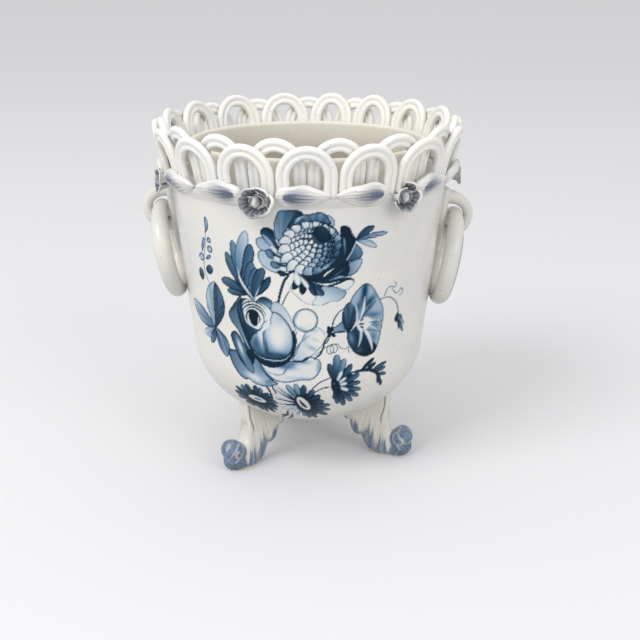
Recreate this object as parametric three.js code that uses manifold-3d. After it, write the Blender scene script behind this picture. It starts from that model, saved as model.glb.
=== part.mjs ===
// Footed faience planter: a bucket-shaped pot on three scroll feet, with an openwork gallery
// of interlaced ribbon arches, a garland of roses and leaves, and two ring handles.
// Millimetres, +Z up. The front faces -Y, and the origin is on the pot's axis, level with the soles.
import * as THREE from 'three';
import { mergeVertices } from 'three/addons/utils/BufferGeometryUtils.js';
import Module from 'manifold-3d';

const wasm = await Module();
wasm.setup();

// Gap between pieces that are stuck together with slip
const slipGap = 0.3;

// Pot body
const undersideHeight = 20;
const kneeHeight = 65;
const kneeRadius = 60.6;
const ledgeTopHeight = 153;
const ledgeRise = 6;
const ledgeFootRadius = 70.2;
const ledgeRadius = 73.6;
const neckRadius = 61.3;
const neckWall = 3.4;
const neckHeight = 15.5;
const wallThickness = 5;

// Gallery of arches, their heights measured from the ledge
const archCount = 16;
const beadDiameter = 3.4;
const beadSpacing = 3.1;
const archGap = 0.4;
const galleryFlare = THREE.MathUtils.degToRad(13.2);
const outerRowInset = 1.9;
const outerArchHeight = 25.2;
const innerArchHeight = 28.2;
const archCrownRise = 16;
const galleryDip = 1.1;
const galleryDrift = THREE.MathUtils.degToRad(7);
const galleryDriftReach = THREE.MathUtils.degToRad(70);
const galleryDriftAngle = THREE.MathUtils.degToRad(102);

// Garland of roses and leaves, placed from the top of the ledge
const roseCount = 6;
const garlandMiddle = THREE.MathUtils.degToRad(9.6);
const garlandCrowding = THREE.MathUtils.degToRad(6);
const roseDrop = 2.2;
const roseRadius = 8.4;
const roseHeightShare = 0.82;
const roseDepth = 6.8;
const roseLift = THREE.MathUtils.degToRad(4);
const rosePetals = 5;
const petalLobeShare = 0.1;
const leafRise = 0.2;
const leafTipLap = 7;
const leafWidth = 12;
const leafThickness = 2.8;
const leafEdgeShare = 0.32;
const leafSlant = 0.9;
const leafPointPower = 0.6;
const garlandGap = 0.4;

// Handle loops, hung from the garland's lower edge: the left one under two leaf tips, the right one
// under a rose, with their feet level
const leftHandle = { tongueLength: 36.9, eyeDrop: 12.9, eyeHalfHeight: 9.2 };
const rightHandle = { tongueLength: 33.8, eyeDrop: 14.1, eyeHalfHeight: 9.4 };
const tongueWidth = 13.5;
const tongueThickness = 3.2;
const tongueTaperShare = 0.93;
const tongueThinningShare = 0.25;
const coilDiameter = 5.2;
const coilRootDiameter = 7.6;

// Rings
const ringDiameter = 43.4;
const ringTube = 9.2;
const ringNeckTube = 7.8;
const ringPlay = 0.35;
const ringSag = 0.4;

// Feet
const footAngles = {
  front_left_foot: THREE.MathUtils.degToRad(-48.5),
  front_right_foot: THREE.MathUtils.degToRad(71.5),
  back_foot: THREE.MathUtils.degToRad(191.5),
};
const footRootOuter = 44.5;
const footRootInner = 18.5;
const footSpinePoints = [[45.2, 27.5], [43.6, 21.5], [44.4, 16.5], [47.6, 13]];
const footFringePoints = [[21.5, 16], [26.5, 9.5], [32, 4]];
const heelRadius = 37;
const toeRollRadius = 5.6;
const toeRollWidth = 13;
const toeRollEndRadius = 3.2;
const toeRollEndShare = 0.86;
const toeRollShoulderShare = 0.5;
const toeReach = 58.5;
const toeRollHeight = 10.8;
const toeUndersidePoints = [[53.4, 1.9], [56.2, 5.4]];
const footSpineWidth = 4.6;
const footBellyWidth = 9.6;
const footBellyShare = 0.8;
const footEdgeWidth = 2.6;
const footRootWidth = 8;
const footSoleWidth = 8.8;
const footSoleFrom = 0.45;
const footSoleTo = 0.72;
const footToeFrom = 0.8;
const footToeShare = 0.6;
const footRidgePower = 1.5;
const footLobes = 5;
const footLobeDepth = 3;
const footFluteShare = 0.2;

// Facets
const bodySegments = 48;
const bowlSteps = 6;
const lipSteps = 3;

// Glaze colours
const whiteGlaze = { color: '#e2e0da', roughness: 0.16 };
const creamGlaze = { color: '#dad8cf', roughness: 0.18 };
const leafGlaze = { color: '#d3d4d4', roughness: 0.2 };
const footGlaze = { color: '#c9cdd2', roughness: 0.2 };

// Plain geometry helpers

// Point at an angle from the front towards the right, a radius and a height
function polar(angle, radius, height) {
  return new THREE.Vector3(radius * Math.sin(angle), -radius * Math.cos(angle), height);
}

// Closed surface from points and triangles, turned to face outwards
function closedSurface(points, triangles) {
  const positions = new Float32Array(points.flatMap((p) => [p.x, p.y, p.z]));
  const volume = triangles.reduce(
    (sum, [a, b, c]) => sum + points[a].dot(new THREE.Vector3().crossVectors(points[b], points[c])),
    0,
  );
  const facing = volume < 0 ? triangles.map(([a, b, c]) => [a, c, b]) : triangles;
  const geometry = new THREE.BufferGeometry();
  geometry.setAttribute('position', new THREE.BufferAttribute(positions, 3));
  geometry.setIndex(facing.flat());
  return geometry;
}

// Skin over a row of equal sections, with a fan over each end unless the row closes on itself
function loft(sections, closesOnItself = false) {
  const count = sections[0].length;
  const points = sections.flat();
  const triangles = [];
  const spans = closesOnItself ? sections.length : sections.length - 1;
  for (let i = 0; i < spans; i += 1) {
    const here = i * count;
    const next = ((i + 1) % sections.length) * count;
    for (let j = 0; j < count; j += 1) {
      const k = (j + 1) % count;
      triangles.push([here + j, next + j, next + k], [here + j, next + k, here + k]);
    }
  }
  if (!closesOnItself) {
    const last = (sections.length - 1) * count;
    for (let j = 1; j < count - 1; j += 1) {
      triangles.push([0, j, j + 1], [last, last + j + 1, last + j]);
    }
  }
  return closedSurface(points, triangles);
}

function toSolid(geometry) {
  const bare = geometry.clone();
  bare.deleteAttribute('normal');
  bare.deleteAttribute('uv');
  const merged = mergeVertices(bare);
  return new wasm.Manifold(new wasm.Mesh({
    numProp: 3,
    vertProperties: new Float32Array(merged.attributes.position.array),
    triVerts: new Uint32Array(merged.index.array),
  }));
}

function toGeometry(solid) {
  const mesh = solid.getMesh();
  const geometry = new THREE.BufferGeometry();
  geometry.setAttribute('position', new THREE.BufferAttribute(new Float32Array(mesh.vertProperties), 3));
  geometry.setIndex(new THREE.BufferAttribute(new Uint32Array(mesh.triVerts), 1));
  return geometry;
}

// Solid turned about the pot's axis from a profile of [radius, height] pairs, given upwards on its outside
function turned(profile) {
  const outline = profile.map(([radius, height]) => new THREE.Vector2(radius, height));
  const lathe = new THREE.LatheGeometry(outline, bodySegments);
  lathe.rotateX(Math.PI / 2);
  return toSolid(lathe);
}

function mix(a, b, t) {
  return a + (b - a) * t;
}

// Pot body

const ledgeFootHeight = ledgeTopHeight - ledgeRise;
const lipHeight = ledgeTopHeight + neckHeight;

// Turn along the bowl's ellipse where a straight side from the ledge's foot touches it
function kneeTurn(gap) {
  const across = (ledgeFootRadius + gap) / (kneeRadius + gap);
  const rise = (ledgeFootHeight - kneeHeight) / (kneeHeight - undersideHeight + gap);
  return Math.atan2(rise, across) + Math.asin(1 / Math.hypot(across, rise));
}

// Round bottom as [radius, height] pairs: an ellipse from the axis outwards and up to the side.
// A positive gap moves it outwards, a negative one gives the inside of the wall.
function bowlArc(gap) {
  const depth = kneeHeight - undersideHeight + gap;
  return Array.from({ length: bowlSteps + 1 }, (_, i) => {
    const turn = kneeTurn(gap) * (i / bowlSteps);
    return [(kneeRadius + gap) * Math.sin(turn), kneeHeight - depth * Math.cos(turn)];
  });
}

// Outside of the pot below the neck, moved outwards by a gap
function outsideProfile(gap) {
  return [
    ...bowlArc(gap),
    [ledgeFootRadius + gap, ledgeFootHeight],
    [ledgeRadius + gap, ledgeTopHeight],
  ];
}

// Radius of the pot's straight side or of the ledge's flare at a height
function wallRadius(height) {
  const [kneeEnd, ledgeFoot, ledgeTop] = outsideProfile(0).slice(-3);
  const [low, high] = height < ledgeFoot[1] ? [kneeEnd, ledgeFoot] : [ledgeFoot, ledgeTop];
  return mix(low[0], high[0], Math.min((height - low[1]) / (high[1] - low[1]), 1));
}

// Height of the bowl's underside at a radius
function bowlHeight(radius) {
  const share = Math.min(radius / kneeRadius, 1);
  return kneeHeight - (kneeHeight - undersideHeight) * Math.sqrt(1 - share ** 2);
}

function potBody() {
  const neckInside = neckRadius - neckWall;
  const lipCentre = neckRadius - neckWall / 2;
  const lip = Array.from({ length: lipSteps + 1 }, (_, i) => {
    const turn = Math.PI * (i / lipSteps);
    const roll = neckWall / 2;
    return [lipCentre + roll * Math.cos(turn), lipHeight - roll + roll * Math.sin(turn)];
  });
  return turned([
    ...outsideProfile(0),
    [neckRadius, ledgeTopHeight],
    ...lip,
    [neckInside, ledgeTopHeight],
    [ledgeFootRadius - wallThickness, ledgeFootHeight - wallThickness],
    ...bowlArc(-wallThickness).reverse(),
  ]);
}

// Pot with the slip gap round it, which cuts the seat of every piece that is stuck on
const potSeat = turned([...outsideProfile(slipGap), [0, ledgeTopHeight]]);

// Gallery of arches

const archPitch = (2 * Math.PI) / archCount;
const ribbonWidth = beadSpacing + beadDiameter;
const outerRowRadius = ledgeRadius - outerRowInset;
const rowSpacing = (beadDiameter + archGap) / Math.cos(galleryFlare);

// Radius of a row's middle surface, a cone that widens upwards from the ledge
function galleryRadius(rowRadius, height) {
  return rowRadius + (height - ledgeTopHeight) * Math.tan(galleryFlare);
}

// Section of the double-beaded ribbon as [across, out] pairs: two beads with a groove between on its face
function ribbonSection() {
  const bead = beadDiameter / 2;
  const half = beadSpacing / 2;
  return [
    [half + bead, 0],
    [half, bead],
    [0, bead / 2],
    [-half, bead],
    [-half - bead, 0],
    [-half, -bead],
    [half, -bead],
  ];
}

// Angle at which the hand-laid gallery really stands: its even spacing drifts round on one side
function laidAngle(angle) {
  const away = Math.abs(THREE.MathUtils.euclideanModulo(angle, 2 * Math.PI) - galleryDriftAngle);
  const near = Math.max(0, 1 - (away / galleryDriftReach) ** 2);
  return angle + galleryDrift * near;
}

// One arch: two legs that rise from the ledge and an elliptical crown, on the flared cone
function arch(evenAngle, rowRadius, archHeight) {
  const crownSteps = 8;
  const from = laidAngle(evenAngle - archPitch / 2);
  const to = laidAngle(evenAngle + archPitch / 2);
  const centreAngle = (from + to) / 2;
  const dip = galleryDip * Math.cos(centreAngle);
  const springHeight = ledgeTopHeight + archHeight - dip - archCrownRise;
  const crownHeight = archCrownRise - ribbonWidth / 2;
  const halfWidth = (height) => (
    (to - from) / 2 - (ribbonWidth / 2 + archGap / 2) / galleryRadius(rowRadius, height)
  );
  const middle = (turn) => {
    const height = springHeight + crownHeight * Math.sin(turn);
    return polar(
      centreAngle - halfWidth(height) * Math.cos(turn),
      galleryRadius(rowRadius, height),
      height,
    );
  };
  const leg = (side) => polar(
    centreAngle - side * halfWidth(ledgeTopHeight),
    galleryRadius(rowRadius, ledgeTopHeight + slipGap),
    ledgeTopHeight + slipGap,
  );
  const crown = Array.from({ length: crownSteps + 1 }, (_, i) => middle(Math.PI * (i / crownSteps)));
  const path = [leg(1), ...crown, leg(-1)];
  const shape = ribbonSection();
  return loft(path.map((point, i) => {
    const before = path[Math.max(i - 1, 0)];
    const after = path[Math.min(i + 1, path.length - 1)];
    const isEnd = i === 0 || i === path.length - 1;
    const angle = Math.atan2(point.x, -point.y);
    const out = polar(angle, Math.cos(galleryFlare), -Math.sin(galleryFlare));
    const along = isEnd
      ? new THREE.Vector3(0, 0, i === 0 ? 1 : -1)
      : new THREE.Vector3().subVectors(after, before).normalize();
    const across = new THREE.Vector3().crossVectors(along, out).normalize();
    const level = isEnd ? polar(angle, 1, 0) : out;
    return shape.map(([a, o]) => point.clone().addScaledVector(across, a).addScaledVector(level, o));
  }));
}

// Garland

// Outermost surface behind the garland: the wall, the ledge and the outer arches' front
function garlandBack(height) {
  const archFront = galleryRadius(outerRowRadius, height) + beadDiameter / 2 / Math.cos(galleryFlare);
  return height < ledgeTopHeight ? wallRadius(height) : archFront;
}

const roseHeight = ledgeTopHeight - roseDrop;
const leafHeight = ledgeTopHeight + leafRise;
const garlandTop = Math.max(leafHeight + leafWidth, roseHeight + 2 * roseRadius);
const garlandSeat = turned([
  [0, kneeHeight],
  [kneeRadius + slipGap, kneeHeight],
  [ledgeFootRadius + slipGap, ledgeFootHeight],
  [Math.max(ledgeRadius, garlandBack(ledgeTopHeight)) + slipGap, ledgeTopHeight],
  [garlandBack(garlandTop) + slipGap, garlandTop],
  [0, garlandTop],
]);

// Rose as [radius, depth] shares from its back to its bud: cup outside, rim, cup inside, bud
const roseProfile = [
  [0.62, -0.6],
  [1, 0.7],
  [0.9, 0.82],
  [0.62, 0.56],
  [0.44, 0.7],
  [0.32, 1],
];

// Angle at which the garland's parts really sit: the garland is a little crowded at the front
function garlandAngle(share) {
  const even = (2 * Math.PI * share) / roseCount;
  return garlandMiddle + even - garlandCrowding * Math.sin(even);
}

// Rose on the wall: lobed cup of petals round a bud, facing outwards and a little up
function rose(angle) {
  const sides = rosePetals * 4;
  const out = polar(angle, Math.cos(roseLift), Math.sin(roseLift));
  const right = polar(angle + Math.PI / 2, 1, 0);
  const up = new THREE.Vector3().crossVectors(right, out);
  const centre = polar(angle, garlandBack(roseHeight), roseHeight);
  const rings = roseProfile.map(([share, depth]) => (
    Array.from({ length: sides }, (_, i) => {
      const turn = (2 * Math.PI * i) / sides;
      const reach = roseRadius * share * (1 + petalLobeShare * share * Math.cos(rosePetals * turn));
      return centre.clone()
        .addScaledVector(right, reach * Math.cos(turn))
        .addScaledVector(up, roseHeightShare * reach * Math.sin(turn))
        .addScaledVector(out, roseDepth * depth);
    })
  ));
  return toSolid(loft(rings)).subtract(garlandSeat);
}

// Leaf laid along the wall: an oval outline with a crowned face, thin at its edge
function leaf(angle, halfAngle, direction) {
  const lengthSteps = 7;
  const widthSteps = 4;
  const tip = 0.97;
  const sections = Array.from({ length: lengthSteps + 1 }, (_, i) => {
    const u = mix(-tip, tip, i / lengthSteps);
    const fullness = (1 - u ** 2) ** leafPointPower;
    const heightAt = (v) => leafHeight + direction * leafSlant * u + (leafWidth / 2) * fullness * v;
    const rim = Array.from({ length: widthSteps + 1 }, (_, j) => {
      const v = mix(-1, 1, j / widthSteps);
      const height = heightAt(v);
      const crown = leafThickness * mix(leafEdgeShare, 1, (1 - v ** 2) * fullness);
      return polar(angle + halfAngle * u, garlandBack(height) + slipGap + crown, height);
    });
    const back = [1, -1].map((v) => (
      polar(angle + halfAngle * u, garlandBack(heightAt(v)) - leafThickness, heightAt(v))
    ));
    return [...rim, ...back];
  });
  return toSolid(loft(sections));
}

// Two leaves between one rose and the next, joined where their tips meet
function leafPair(fromRose, toRose) {
  const back = garlandBack(leafHeight);
  const roseHalf = (roseRadius + garlandGap) / back;
  const leafHalf = ((toRose - fromRose) / 2 - roseHalf + leafTipLap / 2 / back) / 2;
  const first = fromRose + roseHalf + leafHalf;
  const second = toRose - roseHalf - leafHalf;
  return leaf(first, leafHalf, 1).add(leaf(second, leafHalf, -1)).subtract(garlandSeat);
}

// Handle loops and rings

// How far the coil's centre line stands out from the tongue, round the ring's neck
const eyeReach = ringNeckTube + 2 * ringPlay + coilDiameter / 2;

// Places of one handle, whose tongue starts just under the garland
function handlePlaces(angle, garlandBottom, { tongueLength, eyeDrop, eyeHalfHeight }) {
  const tongueTopHeight = garlandBottom - garlandGap;
  const tongueTipHeight = tongueTopHeight - tongueLength;
  const eyeHeight = tongueTopHeight - eyeDrop;
  const eyeFace = wallRadius(eyeHeight) + tongueThickness + slipGap;
  const ringTopRadius = eyeFace + ringPlay + ringNeckTube / 2;
  const ringTopHeight = eyeHeight - ringSag;
  const ringFootHeight = ringTopHeight - ringDiameter;
  const ringFootRadius = wallRadius(ringFootHeight) + slipGap + ringTube / 2;
  const ringLean = Math.asin((ringTopRadius - ringFootRadius) / ringDiameter);
  return {
    angle,
    tongueTopHeight,
    tongueTipHeight,
    eyeHeight,
    eyeHalfHeight,
    eyeFace,
    ringTopRadius,
    ringTopHeight,
    ringLean,
  };
}

const leafBottom = leafHeight - leafWidth / 2 - leafSlant;
const roseBottom = roseHeight - roseRadius * roseHeightShare * (1 + petalLobeShare);
const handles = {
  left: handlePlaces(-Math.PI / 2, leafBottom, leftHandle),
  right: handlePlaces(Math.PI / 2, roseBottom, rightHandle),
};

// Tongue on the wall: half-round sections, full at the top and drawn to a rounded tip
function tongue({ angle, tongueTopHeight, tongueTipHeight }) {
  const steps = 7;
  const sides = 6;
  return toSolid(loft(Array.from({ length: steps + 1 }, (_, i) => {
    const t = i / steps;
    const height = mix(tongueTopHeight, tongueTipHeight, t);
    const halfWidth = (tongueWidth / 2) * Math.sqrt(1 - tongueTaperShare * t ** 3);
    const thickness = tongueThickness * (1 - tongueThinningShare * t ** 6);
    const centre = polar(angle, wallRadius(height) + slipGap, height);
    const out = polar(angle, 1, 0);
    const side = polar(angle + Math.PI / 2, 1, 0);
    const front = Array.from({ length: sides + 1 }, (_, j) => {
      const turn = Math.PI * (j / sides);
      return centre.clone()
        .addScaledVector(side, halfWidth * Math.cos(turn))
        .addScaledVector(out, thickness * Math.sqrt(Math.max(Math.sin(turn), 0)));
    });
    const sunk = [-1, 1].map((s) => centre.clone()
      .addScaledVector(side, s * halfWidth)
      .addScaledVector(out, -2 * tongueThickness));
    return [...front, ...sunk];
  })));
}

// Coil of the eye: an ellipse in the upright plane through the axis, thicker where it leaves the wall
function coil({ angle, eyeHeight, eyeHalfHeight, eyeFace }) {
  const steps = 14;
  const sides = 8;
  const radial = polar(angle, 1, 0);
  const upright = new THREE.Vector3(0, 0, 1);
  const side = polar(angle + Math.PI / 2, 1, 0);
  return toSolid(loft(Array.from({ length: steps }, (_, i) => {
    const turn = (2 * Math.PI * i) / steps;
    const outward = Math.max(Math.cos(turn), 0);
    const tube = mix(coilRootDiameter, coilDiameter, outward) / 2;
    const height = eyeHeight + eyeHalfHeight * Math.sin(turn);
    const centre = polar(angle, eyeFace + eyeReach * Math.cos(turn), height);
    const normal = radial.clone().multiplyScalar(Math.cos(turn) * eyeHalfHeight)
      .addScaledVector(upright, Math.sin(turn) * eyeReach)
      .normalize();
    return Array.from({ length: sides }, (_, j) => {
      const spin = (2 * Math.PI * j) / sides;
      return centre.clone()
        .addScaledVector(normal, tube * Math.cos(spin))
        .addScaledVector(side, tube * Math.sin(spin));
    });
  }), true));
}

function handleLoop(places) {
  return tongue(places).add(coil(places)).subtract(potSeat);
}

// Ring through the eye: its top hangs in the eye and its foot leans on the wall
function ring({ angle, ringTopRadius, ringTopHeight, ringLean }) {
  const steps = 24;
  const sides = 8;
  const radial = polar(angle, 1, 0);
  const side = polar(angle + Math.PI / 2, 1, 0);
  const upright = new THREE.Vector3(0, 0, 1);
  const up = upright.clone().multiplyScalar(Math.cos(ringLean)).addScaledVector(radial, Math.sin(ringLean));
  const face = new THREE.Vector3().crossVectors(up, side);
  const centre = polar(angle, ringTopRadius, ringTopHeight).addScaledVector(up, -ringDiameter / 2);
  return loft(Array.from({ length: steps }, (_, i) => {
    const turn = (2 * Math.PI * i) / steps;
    const nearTop = Math.max(Math.cos(turn), 0) ** 4;
    const tube = mix(ringTube, ringNeckTube, nearTop) / 2;
    const outwards = up.clone().multiplyScalar(Math.cos(turn)).addScaledVector(side, Math.sin(turn));
    return Array.from({ length: sides }, (_, j) => {
      const spin = (2 * Math.PI * j) / sides;
      return centre.clone()
        .addScaledVector(outwards, ringDiameter / 2 + tube * Math.cos(spin))
        .addScaledVector(face, tube * Math.sin(spin));
    });
  }), true);
}

// Feet

const toeRollCentre = toeReach - toeRollRadius;

// Curve in the foot's upright plane through [radius, height] pairs
function footCurve(points) {
  return new THREE.CatmullRomCurve3(points.map(([radius, height]) => new THREE.Vector3(radius, 0, height)));
}

const footRootMiddle = mix(footRootInner, footRootOuter, 1 / 2);

// Ridge of the foot: out along the bowl, down the spine to a waist and out to the middle of the toe's roll
const footRidge = footCurve([
  ...[footRootInner + footSpineWidth, footRootMiddle, footRootOuter].map((radius) => (
    [radius, bowlHeight(radius) + wallThickness / 2]
  )),
  ...footSpinePoints,
  [toeRollCentre, toeRollHeight],
]);

// Fringe of the foot: from the bowl down to the heel, along below the sole and up to the toe
const footFringe = footCurve([
  [footRootInner, bowlHeight(footRootInner) + wallThickness / 2],
  ...footFringePoints,
  [heelRadius, 0],
  ...[1, 2].map((step) => [mix(heelRadius, toeRollCentre, step / 3), -footLobeDepth]),
  ...toeUndersidePoints,
]);

// Roll at the toe, lying across the foot, with bulging ends
function toeRoll(angle) {
  const segments = 14;
  const end = toeRollWidth / 2;
  const profile = [
    [0, -end],
    [toeRollEndRadius, -end * toeRollEndShare],
    [toeRollRadius, -end * toeRollShoulderShare],
  ];
  const mirrored = profile.map(([radius, across]) => [radius, -across]).reverse();
  const outline = [...profile, ...mirrored].map(([radius, across]) => new THREE.Vector2(radius, across));
  const roll = new THREE.LatheGeometry(outline, segments);
  const place = polar(angle, toeRollCentre, toeRollHeight);
  roll.rotateZ(angle + Math.PI / 2);
  roll.translate(place.x, place.y, place.z);
  return toSolid(roll);
}

// Foot: a thick leaf fluted from its ridge down to its lobed fringe, with a rolled toe and a flat sole
function foot(angle) {
  const lengthSteps = footLobes * 4;
  const acrossSteps = 4;
  const radial = polar(angle, 1, 0);
  const side = polar(angle + Math.PI / 2, 1, 0);
  const inPlane = (radius, height) => radial.clone().multiplyScalar(radius).setZ(height);
  const leafBlade = toSolid(loft(Array.from({ length: lengthSteps + 1 }, (_, i) => {
    const s = i / lengthSteps;
    const ridge = footRidge.getPointAt(s ** footRidgePower);
    const fringe = footFringe.getPointAt(s);
    const notch = 1 - Math.abs(Math.sin(Math.PI * footLobes * s));
    const inward = new THREE.Vector3().subVectors(ridge, fringe).normalize();
    const edge = fringe.clone().addScaledVector(inward, footLobeDepth * notch);
    const flute = 1 - footFluteShare * notch;
    const below = THREE.MathUtils.smoothstep(s, footSoleFrom, footSoleTo);
    const toeward = mix(1, footToeShare, THREE.MathUtils.smoothstep(s, footToeFrom, 1));
    const edgeWidth = mix(footEdgeWidth, footSoleWidth, below) * flute * toeward;
    const ridgeWidth = mix(footRootWidth, footSpineWidth, below);
    const halfWidthAt = (u) => {
      const rim = mix(edgeWidth, ridgeWidth, u);
      return (rim + (footBellyWidth - rim) * flute * Math.sin(Math.PI * u ** footBellyShare)) / 2;
    };
    const along = Array.from({ length: acrossSteps + 1 }, (_, j) => j / acrossSteps);
    const flank = (sign, u) => {
      const place = new THREE.Vector3().lerpVectors(edge, ridge, u);
      return inPlane(place.x, place.z).addScaledVector(side, sign * halfWidthAt(u));
    };
    return [
      ...along.map((u) => flank(1, u)),
      ...along.reverse().map((u) => flank(-1, u)),
    ];
  })));
  const ground = new THREE.BoxGeometry(2 * toeReach, 2 * toeReach, undersideHeight);
  ground.translate(radial.x * heelRadius, radial.y * heelRadius, -undersideHeight / 2);
  return leafBlade.add(toeRoll(angle)).subtract(toSolid(ground)).subtract(potSeat);
}

// Assembly

const planter = new THREE.Group();

function addPiece(name, shape, glaze) {
  const geometry = shape instanceof THREE.BufferGeometry ? shape : toGeometry(shape);
  const material = new THREE.MeshStandardMaterial({ ...glaze, metalness: 0 });
  const mesh = new THREE.Mesh(geometry, material);
  mesh.name = name;
  planter.add(mesh);
}

function numbered(name, index) {
  return `${name}_${String(index + 1).padStart(2, '0')}`;
}

addPiece('pot_body', potBody(), whiteGlaze);

const innerRowRadius = outerRowRadius - rowSpacing;
for (let i = 0; i < archCount; i += 1) {
  const between = (i + 0.5) * archPitch;
  addPiece(numbered('outer_arch', i), arch(i * archPitch, outerRowRadius, outerArchHeight), whiteGlaze);
  addPiece(numbered('inner_arch', i), arch(between, innerRowRadius, innerArchHeight), whiteGlaze);
}

for (let i = 0; i < roseCount; i += 1) {
  const share = i - 1 / 2;
  addPiece(numbered('rose', i), rose(garlandAngle(share)), leafGlaze);
  addPiece(numbered('leaf_pair', i), leafPair(garlandAngle(share), garlandAngle(share + 1)), leafGlaze);
}

for (const [side, places] of Object.entries(handles)) {
  addPiece(`${side}_handle_loop`, handleLoop(places), creamGlaze);
  addPiece(`${side}_ring`, ring(places), creamGlaze);
}

for (const [name, angle] of Object.entries(footAngles)) {
  addPiece(name, foot(angle), footGlaze);
}

export default planter;
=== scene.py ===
"""Footed faience planter: a white-glazed pot with a bouquet painted in cobalt blue, an openwork
gallery of two rows of ribbon arches, a garland of roses and leaves, two ring handles and three
scroll feet. The front faces -Y, +Z is up, and angles run from the front towards +X."""
import math

import bmesh
import bpy
import numpy as np
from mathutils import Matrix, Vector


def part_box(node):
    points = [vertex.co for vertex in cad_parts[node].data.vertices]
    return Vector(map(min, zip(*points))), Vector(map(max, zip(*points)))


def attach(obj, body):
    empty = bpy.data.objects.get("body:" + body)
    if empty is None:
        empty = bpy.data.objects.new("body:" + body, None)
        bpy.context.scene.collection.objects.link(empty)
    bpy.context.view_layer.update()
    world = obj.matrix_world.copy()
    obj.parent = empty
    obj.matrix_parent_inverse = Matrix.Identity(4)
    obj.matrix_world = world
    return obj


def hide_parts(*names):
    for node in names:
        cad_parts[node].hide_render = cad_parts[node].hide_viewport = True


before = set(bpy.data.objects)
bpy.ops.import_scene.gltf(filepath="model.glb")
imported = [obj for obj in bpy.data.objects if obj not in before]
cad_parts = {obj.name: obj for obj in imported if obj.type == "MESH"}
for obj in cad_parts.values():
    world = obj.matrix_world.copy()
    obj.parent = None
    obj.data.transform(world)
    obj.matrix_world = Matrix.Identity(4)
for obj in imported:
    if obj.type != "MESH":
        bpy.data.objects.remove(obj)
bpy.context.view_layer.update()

# Camera, floor and lamps
#
# The camera looks down a little at the painted front. A pale floor runs out past the view, and one
# broad lamp high on the left, a weaker one on the right and an even sky light the glaze softly.

camera_pitch = math.radians(18.29)
camera = bpy.data.objects.new("camera", bpy.data.cameras.new("camera"))
camera.data.lens = 63.98
camera.data.sensor_width = 36.0
camera.data.clip_start = 0.01
camera.location = (0.0060, -0.5778, 0.2618)
camera.rotation_euler = (math.pi / 2 - camera_pitch, 0.0, 0.0)
bpy.context.collection.objects.link(camera)
bpy.context.scene.camera = camera
bpy.context.scene.view_settings.view_transform = "Standard"


def colour_by_ray(tree, lighting, background, socket):
    """Give a colour socket the background colour for camera, glossy and transmission rays, and the
    lighting colour for all others: the Light Path flags add up, clamped, to the mix factor."""
    rays = tree.nodes.new("ShaderNodeLightPath")
    flags = rays.outputs["Is Camera Ray"]
    for kind in ("Is Glossy Ray", "Is Transmission Ray"):
        added = tree.nodes.new("ShaderNodeMath")
        added.use_clamp = True
        tree.links.new(flags, added.inputs[0])
        tree.links.new(rays.outputs[kind], added.inputs[1])
        flags = added.outputs[0]
    mixed = tree.nodes.new("ShaderNodeMix")
    mixed.data_type = "RGBA"
    mixed.inputs[6].default_value = (*lighting, 1)
    mixed.inputs[7].default_value = (*background, 1)
    tree.links.new(flags, mixed.inputs[0])
    tree.links.new(mixed.outputs[2], socket)


floor_half = 14.0
floor_corners = [(-floor_half, -floor_half, 0), (floor_half, -floor_half, 0),
                 (floor_half, floor_half, 0), (-floor_half, floor_half, 0)]
floor_data = bpy.data.meshes.new("floor")
floor_data.from_pydata(floor_corners, [], [(0, 1, 2, 3)])
floor = bpy.data.objects.new("floor", floor_data)
bpy.context.collection.objects.link(floor)

floor_paper = bpy.data.materials.new("floor_paper")
floor_paper.use_nodes = True
floor_tree = floor_paper.node_tree
floor_shader = floor_tree.nodes["Principled BSDF"]
colour_by_ray(floor_tree, (0.55, 0.55, 0.555), (0.70, 0.70, 0.715), floor_shader.inputs["Base Color"])
floor_shader.inputs["Roughness"].default_value = 0.9
floor_shader.inputs["Specular IOR Level"].default_value = 0.0
floor_data.materials.append(floor_paper)

sky = bpy.data.worlds.new("sky")
sky.use_nodes = True
sky_light = sky.node_tree.nodes["Background"]
colour_by_ray(sky.node_tree, (1.0, 1.0, 1.0), (0.73, 0.73, 0.745), sky_light.inputs["Color"])
sky_light.inputs["Strength"].default_value = 0.9
bpy.context.scene.world = sky


def soft_lamp(name, place, size, power):
    """A square area lamp at a place, aimed at the middle of the pot."""
    lamp = bpy.data.objects.new(name, bpy.data.lights.new(name, "AREA"))
    lamp.data.size = size
    lamp.data.energy = power
    lamp.location = place
    aim = np.array([0.0, 0.0, 0.09]) - np.array(place)
    tilt, heading = math.acos(-aim[2] / np.linalg.norm(aim)), math.atan2(aim[1], aim[0])
    lamp.rotation_euler = (tilt, 0.0, heading - math.pi / 2)
    bpy.context.collection.objects.link(lamp)


soft_lamp("window_lamp", (-0.9, -0.9, 1.3), 0.9, 15.0)
soft_lamp("fill_lamp", (0.9, -1.1, 0.9), 0.8, 5.0)

# Pot
#
# The pot is thrown: a round bottom, a side that widens upwards, a flared ledge, a plain neck and a
# rolled lip. It is covered inside and out with a white tin glaze and painted on its front only.

mm = 0.001
pot_low, pot_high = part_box("pot_body")
underside_height, lip_height, ledge_radius = pot_low[2], pot_high[2], pot_high[0]
knee_height, knee_radius = 65 * mm, 60.6 * mm
ledge_foot_height, ledge_foot_radius = 147 * mm, 70.2 * mm
ledge_top_height = 153 * mm
neck_radius, neck_wall = 61.3 * mm, 3.4 * mm
wall_thickness = 5 * mm


def polar(angle, radius, height):
    """Points at an angle from the front towards the right, a radius and a height, as arrays."""
    return np.stack(np.broadcast_arrays(radius * np.sin(angle), -radius * np.cos(angle), height), axis=-1)


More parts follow.
